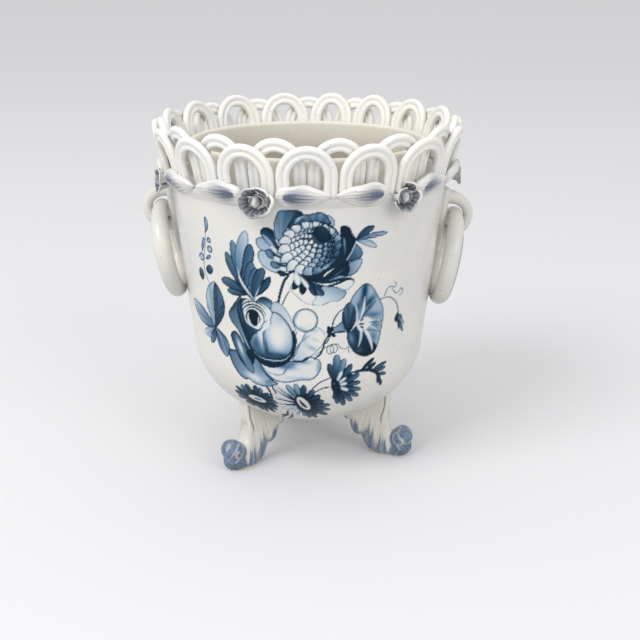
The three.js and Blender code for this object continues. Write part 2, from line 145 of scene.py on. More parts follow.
def bowl_arc(gap, steps):
    """The round bottom as [radius, height] rows: an ellipse from the axis out to the turn where the
    straight side touches it, moved outwards by a gap."""
    across = (ledge_foot_radius + gap) / (knee_radius + gap)
    rise = (ledge_foot_height - knee_height) / (knee_height - underside_height + gap)
    turns = np.linspace(0, math.atan2(rise, across) + math.asin(1 / math.hypot(across, rise)), steps)
    return np.stack([(knee_radius + gap) * np.sin(turns),
                     knee_height - (knee_height - underside_height + gap) * np.cos(turns)], axis=-1)


def distances_along(path):
    """Distance from the start of a path to each of its points, as the sum of the steps before it."""
    return np.concatenate([[0], np.cumsum(np.linalg.norm(np.diff(path, axis=0), axis=1))])


def places_along(path, distances):
    """Places on a [radius, height] path at some distances, on straight lines between its points."""
    run = distances_along(path)
    return np.stack([np.interp(distances, run, path[:, k]) for k in (0, 1)], axis=-1)


def line_rows(*corners, step):
    """A path of straight runs through [radius, height] corners, sampled every step."""
    corners = np.array(corners)
    whole = distances_along(corners)[-1]
    return places_along(corners, np.linspace(0, whole, max(int(whole / step), 1) + 1))


def tint_points(data, tint):
    """Keep a colour for each point, by which the glaze is multiplied, as the attribute cobalt."""
    layer = data.attributes.new("cobalt", "FLOAT_COLOR", "POINT")
    layer.data.foreach_set("color", np.insert(tint, 3, 1, axis=1).ravel())


def skin(name, rows, tint=None, endless=False):
    """Smooth mesh over a grid of points that closes on itself along its second axis, with doubles
    merged and faces pointing outwards. An endless grid closes along its first axis too, and any
    other has a fan over each end, round the mean of its last points. A tint colours the points."""
    count, around = rows.shape[:2]
    i, j = np.meshgrid(np.arange(count if endless else count - 1), np.arange(around), indexing="ij")
    row, next_row, after = i * around, (i + 1) % count * around, (j + 1) % around
    faces = np.stack([row + j, row + after, next_row + after, next_row + j], axis=-1).reshape(-1, 4).tolist()
    ring, ring_after, last_row = np.arange(around), after[0], (count - 1) * around
    cap = np.full(around, count * around)
    if not endless:
        faces += np.stack([cap, ring_after, ring], axis=-1).tolist()
        faces += np.stack([cap + 1, last_row + ring, last_row + ring_after], axis=-1).tolist()

    def listed(grid):
        """The grid as one list, with the means of its two ends last where it has ends."""
        ends = [] if endless else [grid[:1].mean(axis=1), grid[-1:].mean(axis=1)]
        return np.concatenate([grid.reshape(-1, 3), *ends])

    data = bpy.data.meshes.new(name)
    data.from_pydata(listed(rows).tolist(), [], faces)
    if tint is not None:
        tint_points(data, listed(tint))
    piece = bpy.data.objects.new(name, data)
    bpy.context.collection.objects.link(piece)
    tidy = bmesh.new()
    tidy.from_mesh(data)
    bmesh.ops.remove_doubles(tidy, verts=tidy.verts, dist=1e-6)
    bmesh.ops.recalc_face_normals(tidy, faces=tidy.faces)
    tidy.to_mesh(data)
    tidy.free()
    data.shade_smooth()
    return piece


def glaze(name, colour, roughness, painted=False, speckle=0.2, gloss=0.3):
    """White tin glaze: a base colour that varies a little from place to place, fine dark pinholes,
    a soft orange-peel surface and a hard gloss. On a painted piece the colour is multiplied by the
    cobalt attribute, so that bare glaze stays white where the attribute is 1."""
    material = bpy.data.materials.new(name)
    material.use_nodes = True
    tree = material.node_tree
    shader = tree.nodes["Principled BSDF"]
    add, link = tree.nodes.new, tree.links.new
    place = add("ShaderNodeTexCoord").outputs["Object"]

    def noise(scale, detail=2.0):
        """Noise over the piece, in waves to the metre."""
        node = add("ShaderNodeTexNoise")
        node.inputs["Scale"].default_value = scale
        node.inputs["Detail"].default_value = detail
        link(place, node.inputs["Vector"])
        return node.outputs["Fac"]

    def spread(value, **limits):
        """A value whose range between two limits is spread over another range, 0 to 1 at first."""
        node = add("ShaderNodeMapRange")
        for socket, number in limits.items():
            node.inputs[socket.replace("_", " ").title()].default_value = number
        link(value, node.inputs["Value"])
        return node.outputs["Result"]

    def blend(factor, a, b, mode="MIX"):
        """Two colours mixed by a factor, each of the three a fixed value or a node's output."""
        node = add("ShaderNodeMix")
        node.data_type = "RGBA"
        node.blend_type = mode
        for value, socket in ((factor, node.inputs[0]), (a, node.inputs[6]), (b, node.inputs[7])):
            if hasattr(value, "is_linked"):
                link(value, socket)
            else:
                socket.default_value = value
        return node.outputs[2]

    def bump(height, strength, distance):
        """A surface that is raised by a height, up to a distance in metres."""
        node = add("ShaderNodeBump")
        node.inputs["Strength"].default_value = strength
        node.inputs["Distance"].default_value = distance
        link(height, node.inputs["Height"])
        return node

    cool = tuple(c * f for c, f in zip(colour, (0.955, 0.965, 0.985))) + (1,)
    warm = tuple(min(c * f, 1) for c, f in zip(colour, (1.02, 1.01, 0.985))) + (1,)
    clouds = blend(spread(noise(38, 3.0), from_min=0.35, from_max=0.65), cool, warm)
    pinholes = spread(noise(560, 0.0), from_min=0.79, from_max=0.84, to_max=speckle)
    ground = blend(pinholes, clouds, (0.22, 0.17, 0.12, 1))
    if painted:
        cobalt = add("ShaderNodeAttribute")
        cobalt.attribute_name = "cobalt"
        ground = blend(1.0, ground, cobalt.outputs["Color"], "MULTIPLY")
    link(ground, shader.inputs["Base Color"])
    smears = noise(120, 3.0)
    smears = spread(smears, from_min=0.3, from_max=0.7, to_min=roughness * 0.75, to_max=roughness * 1.35)
    link(smears, shader.inputs["Roughness"])
    dents = bump(noise(55), 0.35, 0.0009)
    peel = bump(noise(900), 0.12, 0.00008)
    link(dents.outputs["Normal"], peel.inputs["Normal"])
    link(peel.outputs["Normal"], shader.inputs["Normal"])
    shader.inputs["IOR"].default_value = 1.5
    shader.inputs["Specular IOR Level"].default_value = gloss
    return material


white_glaze = glaze("white_glaze", (0.705, 0.695, 0.665), 0.22, painted=True, gloss=0.1)

# Bouquet
#
# The bouquet is brushed in cobalt oxide on the raw white glaze and sinks into it in the firing. Each
# petal or leaf is a wash with a darker rim, laid over the ones behind, and stems are single strokes.

paint_radius = 66 * mm
brush_load, rim_load, darkest = 1.12, 1.45, 1.1
wash_edge, stroke_edge, rim_inset, streak_fade = 0.22, 0.2, 0.1, 0.6
glass_depth, glass_power = np.array([4.6, 3.2, 2.5]), np.array([1.8, 1.88, 2.3])


def bouquet(across, up):
    """Cobalt tint of the wall at places given in millimetres round it and up it. The tone of a wash
    runs from one side of its outline to the other, grows towards its rim and is streaked from its
    root. A stroke has the tone of its brush within its width. The tint falls with the tone as in a
    coloured glass: fast for red and green, slowly for blue."""
    tone, shape = np.zeros(across.shape), np.ones(across.shape)
    columns, rows = across[0], up[:, 0]

    def window(points, margin):
        """The part of the wall round some points, and its places."""
        (left, low), (right, high) = points.min(axis=0) - margin, points.max(axis=0) + margin
        part = slice(*np.searchsorted(rows, (low, high))), slice(*np.searchsorted(columns, (left, right)))
        return part, np.stack([across[part], up[part]], axis=-1)

    def bend(corners, closed, steps=7):
        """Smooth curve through corners: between two of them it leaves and arrives along the line
        that joins their neighbours."""
        p = np.array(corners, dtype=float)
        before, after = (p[-1:], p[:2]) if closed else (2 * p[:1] - p[1:2], 2 * p[-1:] - p[-2:-1])
        p = np.concatenate([before, p, after])
        a, b, c, d = (p[k:len(p) - 3 + k, None] for k in range(4))
        t = (np.arange(steps) / steps)[None, :, None]
        curve = 2 * b + (c - a) * t + (2 * a - 5 * b + 4 * c - d) * t ** 2 + (3 * b - a - 3 * c + d) * t ** 3
        curve = 0.5 * curve.reshape(-1, p.shape[1])
        return curve if closed else np.concatenate([curve, p[-2:-1]])

    def nearest(places, a, b):
        """Distance of places from a path of short lines, how far along its line each foot is, and
        which line it is."""
        line = b - a
        offset = places[..., None, :] - a
        share = np.clip((offset * line).sum(-1) / np.maximum((line ** 2).sum(-1), 1e-9), 0, 1)
        gap = np.linalg.norm(offset - share[..., None] * line, axis=-1)
        first = gap.argmin(axis=-1)[..., None]
        gap, share = (np.take_along_axis(values, first, axis=-1)[..., 0] for values in (gap, share))
        return gap, share, first[..., 0]

    def wash(corners, near, far, toward=270, rim=0.3, rim_width=0.4, streaks=0.0, root=None, count=9,
             power=1.0):
        """A closed outline filled with a tone that goes from near to far in a direction."""
        outline = bend(corners, True)
        part, places = window(outline, 1.0)
        if not places.size:
            return
        after = np.roll(outline, -1, axis=0)
        gap = nearest(places, outline, after)[0]
        x, y = places[..., 0:1], places[..., 1:2]
        crosses = (outline[:, 1] > y) != (after[:, 1] > y)
        rise = np.where(after[:, 1] == outline[:, 1], 1e-9, after[:, 1] - outline[:, 1])
        crossing = outline[:, 0] + (y - outline[:, 1]) * (after[:, 0] - outline[:, 0]) / rise
        inside = (crosses & (x < crossing)).sum(-1) % 2
        depth = np.where(inside == 1, gap, -gap)
        way = np.array([math.cos(math.radians(toward)), math.sin(math.radians(toward))])
        reach = outline @ way
        along = np.clip((places @ way - reach.min()) / (reach.max() - reach.min()), 0, 1) ** power
        fill = near + (far - near) * along
        if streaks:
            root = np.array(corners[0] if root is None else root)
            ray, middle = places - root, outline.mean(axis=0) - root
            turn = np.arctan2(ray[..., 1], ray[..., 0]) - math.atan2(middle[1], middle[0])
            turn = (turn + math.pi) % (2 * math.pi) - math.pi
            waves = np.sin(turn * count * 2 + 1.7 * np.sin(3 * turn))
            fill = fill + streaks * waves * np.clip(depth / streak_fade, 0, 1)
        fill = fill + rim_load * rim * np.exp(-(np.clip(depth - rim_inset, 0, None) / rim_width) ** 2)
        cover = np.clip(0.5 + depth / wash_edge, 0, 1)
        shape[:] = 0
        shape[part] = cover
        tone[part] += cover * (np.clip(fill, 0, darkest) - tone[part])

    def glow(middle, reach, shade, strength=1.0, lean=0.0):
        """A soft round patch on the last wash that fades out from its middle."""
        reach = np.array(reach, dtype=float)
        part, places = window(np.array([middle, middle]), 2 * reach.max())
        turn = np.array([[math.cos(lean), -math.sin(lean)], [math.sin(lean), math.cos(lean)]])
        turned = (places - middle) @ turn
        cover = strength * np.exp(-((turned / reach) ** 2).sum(axis=-1)) * shape[part]
        tone[part] += cover * (shade - tone[part])

    def stroke(corners, wide, shade):
        """A brush stroke along a smooth curve, whose width and tone run from end to end."""
        path = bend(corners, False)
        part, places = window(path, max(wide) + 0.5)
        if not places.size:
            return
        gap, share, first = nearest(places, path[:-1], path[1:])
        run = (first + share) / (len(path) - 1)
        half = np.interp(run, np.linspace(0, 1, len(wide)), wide) / 2
        dark = np.interp(run, np.linspace(0, 1, len(shade)), shade)
        cover = np.clip(0.5 + (half - gap) / stroke_edge, 0, 1)
        tone[part] += cover * (dark - tone[part])

    def petal(base, tip, half, near, far, bow=0.0, full=0.55, sharp=1.0, **marks):
        """A wash with the outline of a petal from its base to its tip, fullest at a share of its
        length: a sine up to there, then an ellipse."""
        base, tip = np.array(base, dtype=float), np.array(tip, dtype=float)
        axis = tip - base
        side = np.array([-axis[1], axis[0]]) / np.linalg.norm(axis)
        s = np.array([0.0, 0.15, 0.35, 0.55, 0.75, 0.9, 0.98])
        swell = np.sin(math.pi / 2 * np.minimum(s / full, 1)) ** 0.8
        close = np.sqrt(np.clip(1 - ((s - full) / (1 - full)) ** 2, 0, 1)) ** sharp
        girth = np.where(s < full, swell, close)
        girth[0] = 0.12
        centre = base + np.outer(s, axis) + np.outer(bow * 4 * s * (1 - s), side)
        left, right = centre + np.outer(girth * half, side), centre - np.outer(girth * half, side)
        corners = np.concatenate([left, [tip], right[::-1]])
        usual = {"toward": math.degrees(math.atan2(axis[1], axis[0])), "root": base, "streaks": 0.09}
        wash(corners, near, far, **{**usual, **marks})

    def oval(middle, reach, near, far, lean=0.0, **marks):
        """A wash with the outline of an ellipse that leans by an angle."""
        turns = np.radians(np.arange(0, 360, 45))
        x, y = reach[0] * np.cos(turns), reach[1] * np.sin(turns)
        turned = x * math.cos(lean) - y * math.sin(lean), x * math.sin(lean) + y * math.cos(lean)
        wash(np.stack(turned, axis=-1) + middle, near, far, **marks)

    for flower in (paint_leaves, paint_peony, paint_rose, paint_glory, paint_daisies):
        flower(wash, oval, glow, stroke, petal)
    return np.exp(-glass_depth * np.clip(brush_load * tone, 0, brush_load)[..., None] ** glass_power)


def paint_leaves(wash, oval, glow, stroke, petal):
    """The berry sprig, the broad leaves and the lobed leaf at the left."""
    stroke([(-54, 103), (-57, 110), (-56, 118), (-54, 124), (-52.5, 133)],
           (0.5, 0.6, 0.5, 0.4), (0.55, 0.6, 0.6))
    petal((-52.8, 130.5), (-51.8, 138.8), 1.4, 0.55, 0.35, bow=-0.8)
    petal((-57.3, 120), (-54.3, 128), 1.1, 0.5, 0.35)
    for x, y, size in ((-51, 127, 1.5), (-51, 122.5, 1.9), (-58, 117.3, 2.1)):
        oval((x, y), (size, size), 0.3, 0.15, rim=0.45, rim_width=0.7)
    oval((-53, 111.6), (2.8, 2.3), 0.55, 0.98, lean=0.6, toward=240)
    oval((-60.2, 108), (2.2, 3.2), 0.55, 0.98, toward=240)
    petal((-54.8, 116.8), (-50.8, 119.2), 1.0, 0.55, 0.35)
    for base, tip, half, near, far, bow in (
        ((-54.3, 81), (-76, 90.5), 4.8, 0.7, 0.3, 1.0), ((-54.5, 80.5), (-66, 75), 2.8, 0.6, 0.2, 0.8),
        ((-54.2, 80), (-60, 71), 2.2, 0.85, 0.5, 0.3), ((-55.2, 81.5), (-50.2, 106), 5.0, 0.42, 0.3, 1.9),
        ((-54, 81), (-49.8, 105.5), 4.2, 0.85, 0.66, -2.7),
        ((-53.8, 80.7), (-47.2, 66.2), 4.4, 0.72, 0.5, 0.9),
    ):
        petal(base, tip, half, near, far, bow=bow, sharp=1.35, streaks=0.06, count=6, rim=0.28)
    stroke([(-50, 104.8), (-50.2, 97), (-51.2, 89), (-54.3, 81), (-57, 78.5)],
           (0.4, 0.8, 0.5, 0.3), (0.85, 0.9, 0.8))
    stroke([(-54.3, 80.8), (-51, 76.5), (-48, 69)], (0.3, 0.5, 0.3), (0.3, 0.2, 0.4))
    for k in range(4):
        stroke([(-50.6, 88 + 3.6 * k), (-47.5, 91.2 + 3.4 * k), (-45 - 0.7 * k, 93 + 2.9 * k)],
               (0.3, 0.35, 0.1), (0.75, 0.6, 0.5))
        stroke([(-51.4, 87 + 3.6 * k), (-54.5, 90 + 3.5 * k), (-57.5 + 0.5 * k, 91 + 3.1 * k)],
               (0.3, 0.35, 0.1), (0.65, 0.55, 0.4))
    # lobed leaf
    stroke([(-27, 101), (-33, 108), (-35, 117), (-33, 126)], (2, 6, 5, 2), (0.85, 0.65, 0.5))
    stroke([(-27, 101), (-25, 106), (-22, 111)], (1.5, 4, 3), (0.85, 0.75))
    for base, tip, half, near, far, bow in (
        ((-31, 103.5), (-45, 108.4), 2.7, 0.85, 0.6, -0.7), ((-30, 102.5), (-42, 103.2), 1.7, 0.85, 0.6, 0.2),
        ((-33.5, 107), (-40.4, 123), 2.3, 0.75, 0.6, 0.6), ((-33, 109), (-36.2, 129.5), 2.4, 0.7, 0.5, 0.4),
        ((-34.5, 110), (-28.4, 135), 3.0, 0.62, 0.24, 0.8),
        ((-33, 109), (-26.6, 128.8), 2.8, 0.72, 0.66, -0.9),
        ((-31.5, 105), (-26.4, 120), 2.6, 0.7, 0.6, -0.4),
        ((-28.3, 102.5), (-24.5, 117), 2.4, 0.6, 0.62, 0.3),
        ((-27.2, 101.5), (-17.6, 113), 1.9, 0.9, 0.75, -0.8),
        ((-27.5, 101), (-20.8, 117.3), 2.7, 0.8, 0.68, 0.6),
    ):
        petal(base, tip, half, near, far, bow=bow, full=0.66, rim=0.22, streaks=0.04, count=5)
    stroke([(-26.6, 100.6), (-30, 104.6), (-33.4, 110), (-34.4, 116)], (0.5, 1.2, 1.2, 0.3), (0.3, 0.15, 0.2))
    stroke([(-26.4, 100.6), (-25, 104), (-22.6, 108.5)], (0.4, 0.9, 0.3), (0.4, 0.3, 0.5))


def paint_peony(wash, oval, glow, stroke, petal):
    """The many-petalled flower at the top: broad outer petals and a globe of scales round an eye."""
    stroke([(-9, 114), (-11, 111), (-13, 105), (-14.2, 100)], (1.3, 1.4, 1.2), (0.9, 0.85, 0.9))
    stroke([(-8.5, 106.5), (-10.5, 103), (-12, 99.5)], (0.5, 0.7), (0.75, 0.8))
    wash([(-20, 126.5), (-22.6, 125.5), (-23.2, 122.5), (-21.5, 118.8), (-18, 116.2), (-14, 115.3),
          (-11, 118), (-13, 123), (-15.5, 126.3)], 0.27, 0.33, toward=60, rim=0.3)
    wash([(-21.5, 132.7), (-23.5, 131.5), (-23.7, 129.5), (-22.3, 126.8), (-19, 125.8), (-15, 127),
          (-16, 130), (-19, 133)], 0.38, 0.3, toward=250, rim=0.3)
    wash([(-14.2, 115.8), (-12, 116.6), (-9, 115.4), (-7, 115.6), (-9.5, 114.2), (-12.3, 113.7)], 0.9, 0.85)
    wash([(-14.4, 134), (-10, 134), (-8, 121), (-5, 116), (-9, 116), (-13.5, 120), (-16.8, 126.5)],
         0.85, 0.9, rim=0.1)
    wash([(-19.5, 126.2), (-17, 126.9), (-15.4, 125), (-15.3, 122.5), (-16.5, 122), (-18.6, 123.5)],
         0.62, 0.5, toward=180)
    wash([(-17.4, 120.3), (-15.5, 121), (-13, 119.8), (-11.5, 118.4), (-14, 117.4), (-16.5, 118)],
         0.66, 0.5, toward=200)
    wash([(-21.4, 135), (-19.8, 137.3), (-17.5, 137.8), (-15, 136), (-13, 132), (-12, 128.6), (-15.5, 130.5),
          (-18, 130), (-20, 132.3)], 0.98, 0.5, toward=235, power=1.5)
    petal((-14.2, 127.5), (-20.8, 134.4), 1.4, 0.3, 0.45)
    for base, tip, half in (
        ((-11.2, 123.2), (-17, 128.7), 1.1), ((-9.4, 119.4), (-15.6, 123.3), 1.2),
        ((-6.4, 116.7), (-13, 117.8), 1.3), ((-11.7, 127.5), (-14.2, 132.5), 0.7),
    ):
        petal(base, tip, half, 0.3, 0.03, rim=0.25, rim_width=0.3, full=0.6)
    wash([(-14.6, 133), (-14.8, 139), (-13.6, 143.5), (-12, 146.2), (-9, 146.5), (-4, 146.6), (-1.6, 145.2),
          (-2.4, 143.2), (-5, 141), (-9, 137), (-11, 131)],
         0.42, 0.95, toward=8, rim=0.25, streaks=0.04, root=(-12, 130), power=1.4)
    wash([(3, 140), (8.5, 144), (11, 143), (12.4, 140.5), (11, 137.5), (7, 138)], 0.33, 0.28, rim=0.28)
    wash([(-8.5, 138), (-6, 142.5), (-2, 144.6), (1.5, 144.9), (5.5, 145.7), (8, 144.6), (9.8, 142),
          (10.5, 139.6), (4, 139.5), (-2, 139)], 0.5, 0.85, toward=262, rim=0.35, streaks=0.06, root=(4, 132))
    stroke([(-5, 140.5), (-3.5, 142.5), (-1, 143.8)], (0.4, 1.1, 0.3), (0.4, 0.3, 0.4))
    wash([(22.4, 129), (24.5, 127.8), (26, 125.2), (26, 123), (24, 121), (20, 120.5), (16, 118), (17, 122),
          (20.5, 126)], 0.5, 0.95, toward=215, rim=0.25)
    wash([(25.8, 121.7), (26.2, 119.5), (25, 116.5), (22.5, 114), (19, 113), (14, 114.8), (17, 118.5),
          (21.5, 121)], 0.25, 0.75, toward=190, rim=0.3)
    wash([(15, 138.3), (17.5, 138.6), (19.5, 137), (20.5, 134.6), (22, 132.5), (22.2, 130), (20, 125),
          (17, 119), (12, 118), (14.5, 128), (15, 134)], 0.98, 0.95, rim=0.1)
    stroke([(22.6, 129.8), (21, 126), (18.5, 121.5), (15.5, 116.5)], (0.3, 0.6, 0.7, 0.3), (0.35, 0.3, 0.5))
    petal((17.8, 122), (16.6, 133), 0.8, 0.7, 0.4, full=0.7, rim=0.2)
    wash([(-8.2, 107.2), (-5, 103.7), (-1.5, 100.5), (2, 99.3), (6, 98.9), (10.3, 100.2), (12, 104), (8, 110),
          (-2, 112), (-7, 110)], 0.0, 0.04, rim=0.4, rim_width=0.22)
    wash([(2.2, 100.4), (6, 98.8), (10.5, 100.3), (15, 100.6), (18.5, 103.2), (18.8, 105.6), (15.5, 107.5),
          (9, 109), (3, 107), (4, 103)], 0.04, 0.45, toward=60, rim=0.28, rim_width=0.28)
    wash([(14, 108), (18.5, 106), (21.5, 107.5), (22.8, 110), (21.5, 112), (17, 112.2), (13, 110)],
         0.03, 0.12, rim=0.3, rim_width=0.28)
    stroke([(10, 108.5), (15, 110.2), (19.5, 111.9), (22, 111.2), (22.8, 109.9)],
           (0.9, 1.5, 1.1, 0.4), (0.9, 1.0, 0.9))
    wash([(-6.5, 117.5), (-3, 113.8), (0.5, 111), (3, 107), (8, 108.8), (12, 109.2), (17, 111.5), (19.5, 114),
          (20, 118), (17, 122), (8, 118)], 0.97, 0.9, rim=0.05)
    petal((-1.5, 114.5), (8, 104.2), 2.5, 0.95, 0.66, bow=-0.8, streaks=0.1, count=8, rim=0.25)
    petal((0.5, 113), (4.2, 103.9), 1.6, 0.95, 0.8, bow=-0.4)
    for mark in (
        ([(3.2, 110.8), (9, 109.6), (15, 110.8)], (0.3, 0.9, 0.3), (0.5, 0.05, 0.3)),
        ([(10.2, 111.6), (15, 113), (18.9, 112.9)], (0.3, 1.1, 0.3), (0.6, 0.4, 0.5)),
        ([(9, 111.8), (14, 114.6), (17.5, 117.5)], (0.2, 0.7, 0.2), (0.7, 0.6, 0.7)),
    ):
        stroke(*mark)
    petal((-5, 115), (-6.9, 107), 1.8, 0.98, 1.0, bow=0.9, rim=0.0)
    petal((-2.5, 113), (-2.3, 104.6), 1.9, 1.0, 1.0, bow=0.3, rim=0.0)
    petal((-5.6, 116.4), (-4, 109.3), 1.7, 0.12, 0.02, rim=0.28, rim_width=0.3)
    petal((-4, 114.5), (0.7, 108), 1.1, 0.1, 0.0, rim=0.28, rim_width=0.3, full=0.7)
    wash([(-11.6, 128), (-10.5, 134), (-6, 139.3), (0, 141.2), (6, 141.3), (11, 139), (14.8, 134),
          (15.5, 127), (13.5, 120), (8, 115.5), (1, 113.6), (-5, 115.5), (-9.5, 121)],
         0.45, 1.0, toward=325, rim=0.3, power=0.8)
    eye, globe = np.array((6.4, 134.6)), np.array((2.0, 127.4))
    for ring, count in enumerate((11, 13, 15, 16, 17, 18)):
        reach = (ring + 0.9) / 6.1
        for k in range(count):
            turn = 2 * math.pi * (k + 0.5 * (ring % 2)) / count + 0.23
            way = np.array((math.cos(turn), math.sin(turn)))
            inner, outer = eye + way * (3.4, 3.6), globe + way * (13.0, 12.6)
            place = inner + reach * (outer - inner)
            inward = (eye - place) / np.linalg.norm(eye - place)
            room = math.dist(place, eye) / 14
            dusk = float(np.clip(0.75 * way[0] - 0.55 * way[1] - 0.1, 0, 1)) * (0.35 + 0.65 * reach)
            long, half = 1.4 + 3.4 * room, 3.6 * (3.5 + 9.5 * reach) / count * (0.72 + 0.26 * room)
            petal(place - inward * long * 0.6, place + inward * long * 0.6, half, 0.30 + 0.8 * dusk,
                  0.75 * dusk, full=0.6, rim=0.8, rim_width=0.32, bow=0.3 * math.sin(5 * k + ring),
                  toward=60 + 40 * math.sin(3 * k + ring))
    wash([(-7, 117.6), (-4, 115.4), (1, 114.6), (6, 115.8), (11, 119), (14, 123.5), (15.5, 129), (17.5, 124),
          (17, 119), (13, 114), (7, 111.5), (0, 112), (-4, 114.5)], 0.9, 0.97, rim=0.0)
    stroke([(4.5, 116.6), (8.5, 118.3), (12.2, 121.8)], (0.2, 0.9, 0.2), (0.4, 0.3, 0.6))
    stroke([(7.8, 113.9), (10, 115.9), (12.6, 117.6)], (0.5, 0.8, 0.3), (0.1, 0.1, 0.3))
    petal((-5.6, 116.6), (-4, 109.3), 1.7, 0.12, 0.02, rim=0.28, rim_width=0.3)
    petal((-4, 114.8), (0.7, 108), 1.1, 0.1, 0.0, rim=0.28, rim_width=0.3, full=0.7)
    wash([(2.2, 135.5), (4, 138), (6.5, 139.1), (9, 137.5), (10.2, 134.5), (9.6, 131.5), (7.5, 130.4),
          (5.2, 131.6), (3.6, 133.4)], 0.85, 1.0, toward=225, rim=0.1)
    for top in ((31, 137.2, 1.9, 0.85), (38.5, 133, 1.4, 0.5), (33.2, 126.6, 1.6, 0.35)):
        petal((22.3, 131), top[:2], top[2], top[3], top[3] - 0.15, bow=0.6, full=0.6, rim=0.3, streaks=0.06,
              count=6)
    stroke([(22.5, 130.8), (28, 131.8), (34, 132.6)], (0.3, 0.4, 0.2), (0.8, 0.7, 0.6))


